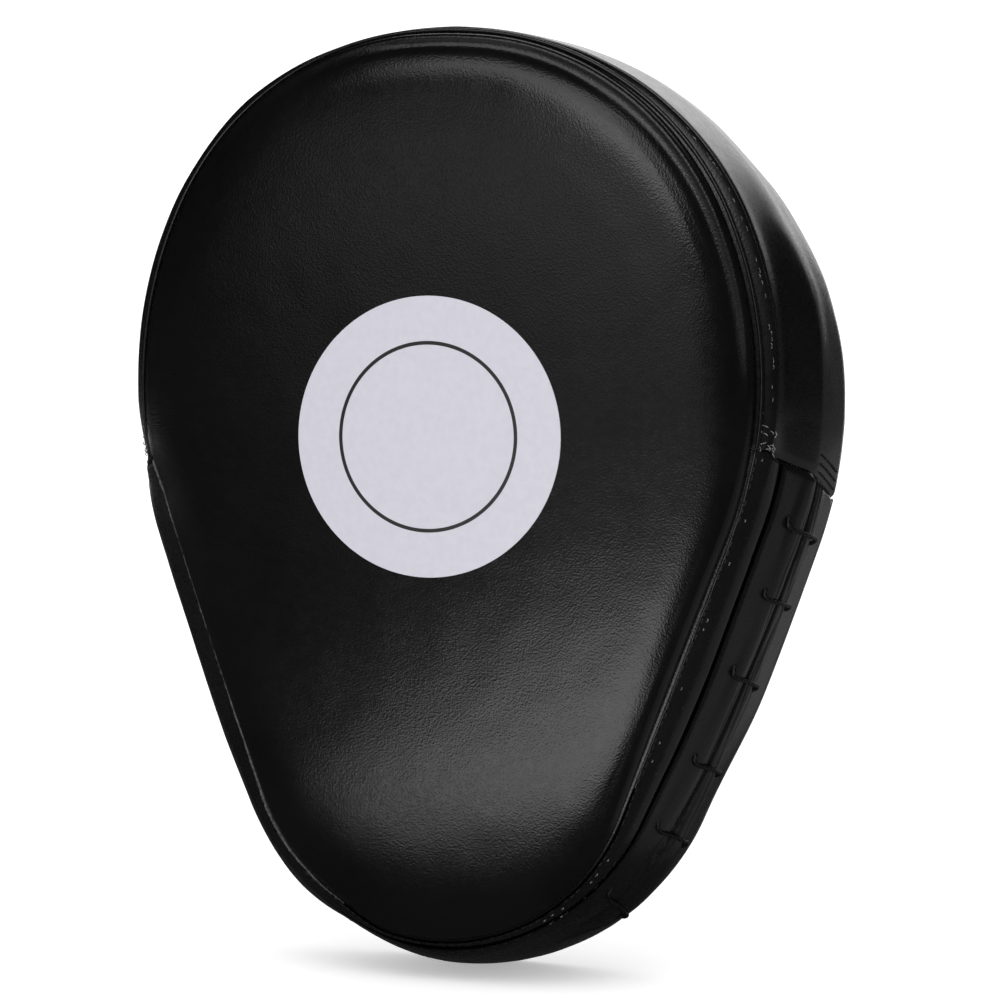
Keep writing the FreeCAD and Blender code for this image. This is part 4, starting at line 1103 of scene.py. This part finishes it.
def add_light(name, place, aim, width, height, power):
    """Rectangular light, aimed and never seen itself."""
    light = bpy.data.lights.new(name, "AREA")
    light.shape = "RECTANGLE"
    light.size, light.size_y = width, height
    light.energy = power
    item = link_item(name, light)
    item.location = place
    item.rotation_euler = (Vector(aim) - Vector(place)).to_track_quat("-Z", "Y").to_euler()
    item.visible_camera = False
    return item


def swept_sheet(name, line, material):
    """Open sheet under a line of left and right corners."""
    points = [corner for pair in line for corner in pair]
    faces = [(2 * k, 2 * k + 1, 2 * k + 3, 2 * k + 2) for k in range(len(line) - 1)]
    mesh = bpy.data.meshes.new(name)
    mesh.from_pydata(points, [], faces)
    mesh.shade_smooth()
    mesh.materials.append(material)
    item = link_item(name, mesh)
    return item


# Dark cards round the mitt: start and end angle from the front towards the thumb side, height, and glow.
CARDS = ((-150, 150, 1.5, 0.0), (150, 176, 0.40, 0.09))
CARD_DISTANCE = 1.6
# Flat cards: height above the floor, glow, then left end, right end and y of every edge.
FLAT_CARDS = (("card_floor", 0.0004, 0.03, ((-1.0, 1.7, -2.4), (-1.0, 1.7, -0.05), (-1.0, 0.10, 1.6))),
              ("card_roof", 1.6312, 0.0, ((-1.6, 1.6, -1.6), (-1.6, 1.6, 0.9))),
              ("card_side", 0.0008, 0.22, ((0.10, 1.7, -0.05), (0.10, 1.7, 1.6))))


def black_card(name, line, glow):
    """Card that only shiny surfaces see, as beside a product on a photographer's table."""
    material, _ = new_material(name, (0.002, 0.002, 0.002), 1.0, Specular_IOR_Level=0.0,
                               Emission_Strength=glow, Emission_Color=(1, 1, 1, 1))
    card = swept_sheet(name, line, material)
    for kind in ("camera", "diffuse", "shadow", "transmission", "volume_scatter"):
        setattr(card, "visible_" + kind, False)


def stage():
    """Plain pale floor that sweeps up far behind the mitt, and black cards that keep the hide dark."""
    bottom = cad_box[0][2] - 0.0008
    reach = 6
    profile = [(-8.0, 0.0)]
    for k in range(13):
        turn = k / 12 * math.pi / 2
        profile.append((1.8 + 0.8 * math.sin(turn), 0.8 - 0.8 * math.cos(turn)))
    paint, shader = new_material("floor_paint", (0.9, 0.9, 0.9), 0.9, Emission_Strength=0.38,
                                 Emission_Color=(1, 1, 1, 1))
    bump(paint.node_tree, shader, object_noise(paint.node_tree, 60, 2), 0.0001, 0.2)
    swept_sheet("floor", [((-reach, y, bottom + z), (reach, y, bottom + z)) for y, z in profile], paint)
    for index, (start, end, height, glow) in enumerate(CARDS):
        line = []
        for angle in np.radians(np.linspace(start, end, 30)):
            x, y = CARD_DISTANCE * math.sin(angle), -CARD_DISTANCE * math.cos(angle)
            line.append(((x, y, bottom), (x, y, height)))
        black_card("card_" + str(index), line, glow)
    for name, above, glow, edges in FLAT_CARDS:
        height = bottom + above
        black_card(name, [((left, y, height), (right, y, height)) for left, right, y in edges], glow)


def camera():
    """Camera in front, a little to the thumb side and a little above."""
    aim = Vector((0.01711, -0.028, 0.0))
    away = Vector((0.3518, -0.9345, 0.0539)).normalized()
    distance, roll = 1.1, math.radians(1.076)
    right = away.cross(Vector((0, 0, 1))).normalized() * -1
    up = away.cross(right)
    tilted = right * math.cos(roll) + up * math.sin(roll)
    up = away.cross(tilted)
    data = bpy.data.cameras.new("camera")
    data.sensor_width = 36
    data.lens = 148.1
    item = link_item("camera", data)
    turn = Matrix((tilted, up, away)).transposed().to_4x4()
    item.matrix_world = Matrix.Translation(aim + away * distance) @ turn
    bpy.context.scene.camera = item


def lights():
    """White world, one soft key, and boxes that only shiny surfaces see."""
    world = bpy.data.worlds.new("studio")
    world.use_nodes = True
    set_inputs(world.node_tree.nodes["Background"], Color=(1, 1, 1, 1), Strength=1.0)
    bpy.context.scene.world = world
    key = add_light("key", (0.30, -0.95, 1.05), (0, 0, 0.0), 0.90, 0.90, 4)
    key.visible_glossy = False
    low = cad_box[0][2] + 0.004
    for name, place, aim, width, height, power in (
            ("low_patch", (0.00, -0.447, low), (0.00, -0.447, 1.0), 0.21, 0.57, 1.72),
            ("upper_box", (0.06, -1.33, 0.56), (0, 0, 0.09), 0.62, 0.28, 2.7),
            ("crown_box", (-0.12, -1.10, 0.88), (0, 0, 0.10), 1.00, 0.50, 4.8),
            ("fill_box", (-0.25, -1.43, 0.07), (0, 0, 0), 0.80, 0.38, 0.30),
            ("top_fill", (-0.36, -1.40, 0.28), (0, 0, 0.05), 0.85, 0.18, 0.55),
            ("rear_box", (-0.08, 1.42, 0.80), (0, 0, 0), 0.9, 0.5, 1.3)):
        box = add_light(name, place, aim, width, height, power)
        box.visible_diffuse = False
    bpy.context.scene.view_settings.view_transform = "Standard"


# ---------------- assembly

face_piece()
strike_pad()
foam_block("core_foam_block", "core_foam", 0.2, 15.0)
foam_block("palm_foam_block", "palm_foam", 15.1, 26.8)
print_ring("target_ring_print", "target_outer_ring", "target_white", PRINT_WHITE, 37.5, 25.4, 0.25)
print_ring("target_line_print", "target_line_ring", "target_black", PRINT_BLACK, 25.5, 24.5, 0.26)
print_ring("bullseye_print", "target_bullseye", "target_white", PRINT_WHITE, 24.6, 0, 0.25)
front_strip()
side_band()
hood_wall()
seam_rows()
corner_threads()
rim_bead()
lacing()
hood_back()
hood_layers()
mouth_binding()
rim_pad()
palm_sheet()
palm_ball()
stall_webs()
strap_pieces()
finish_cad_nodes()
stage()
camera()
lights()
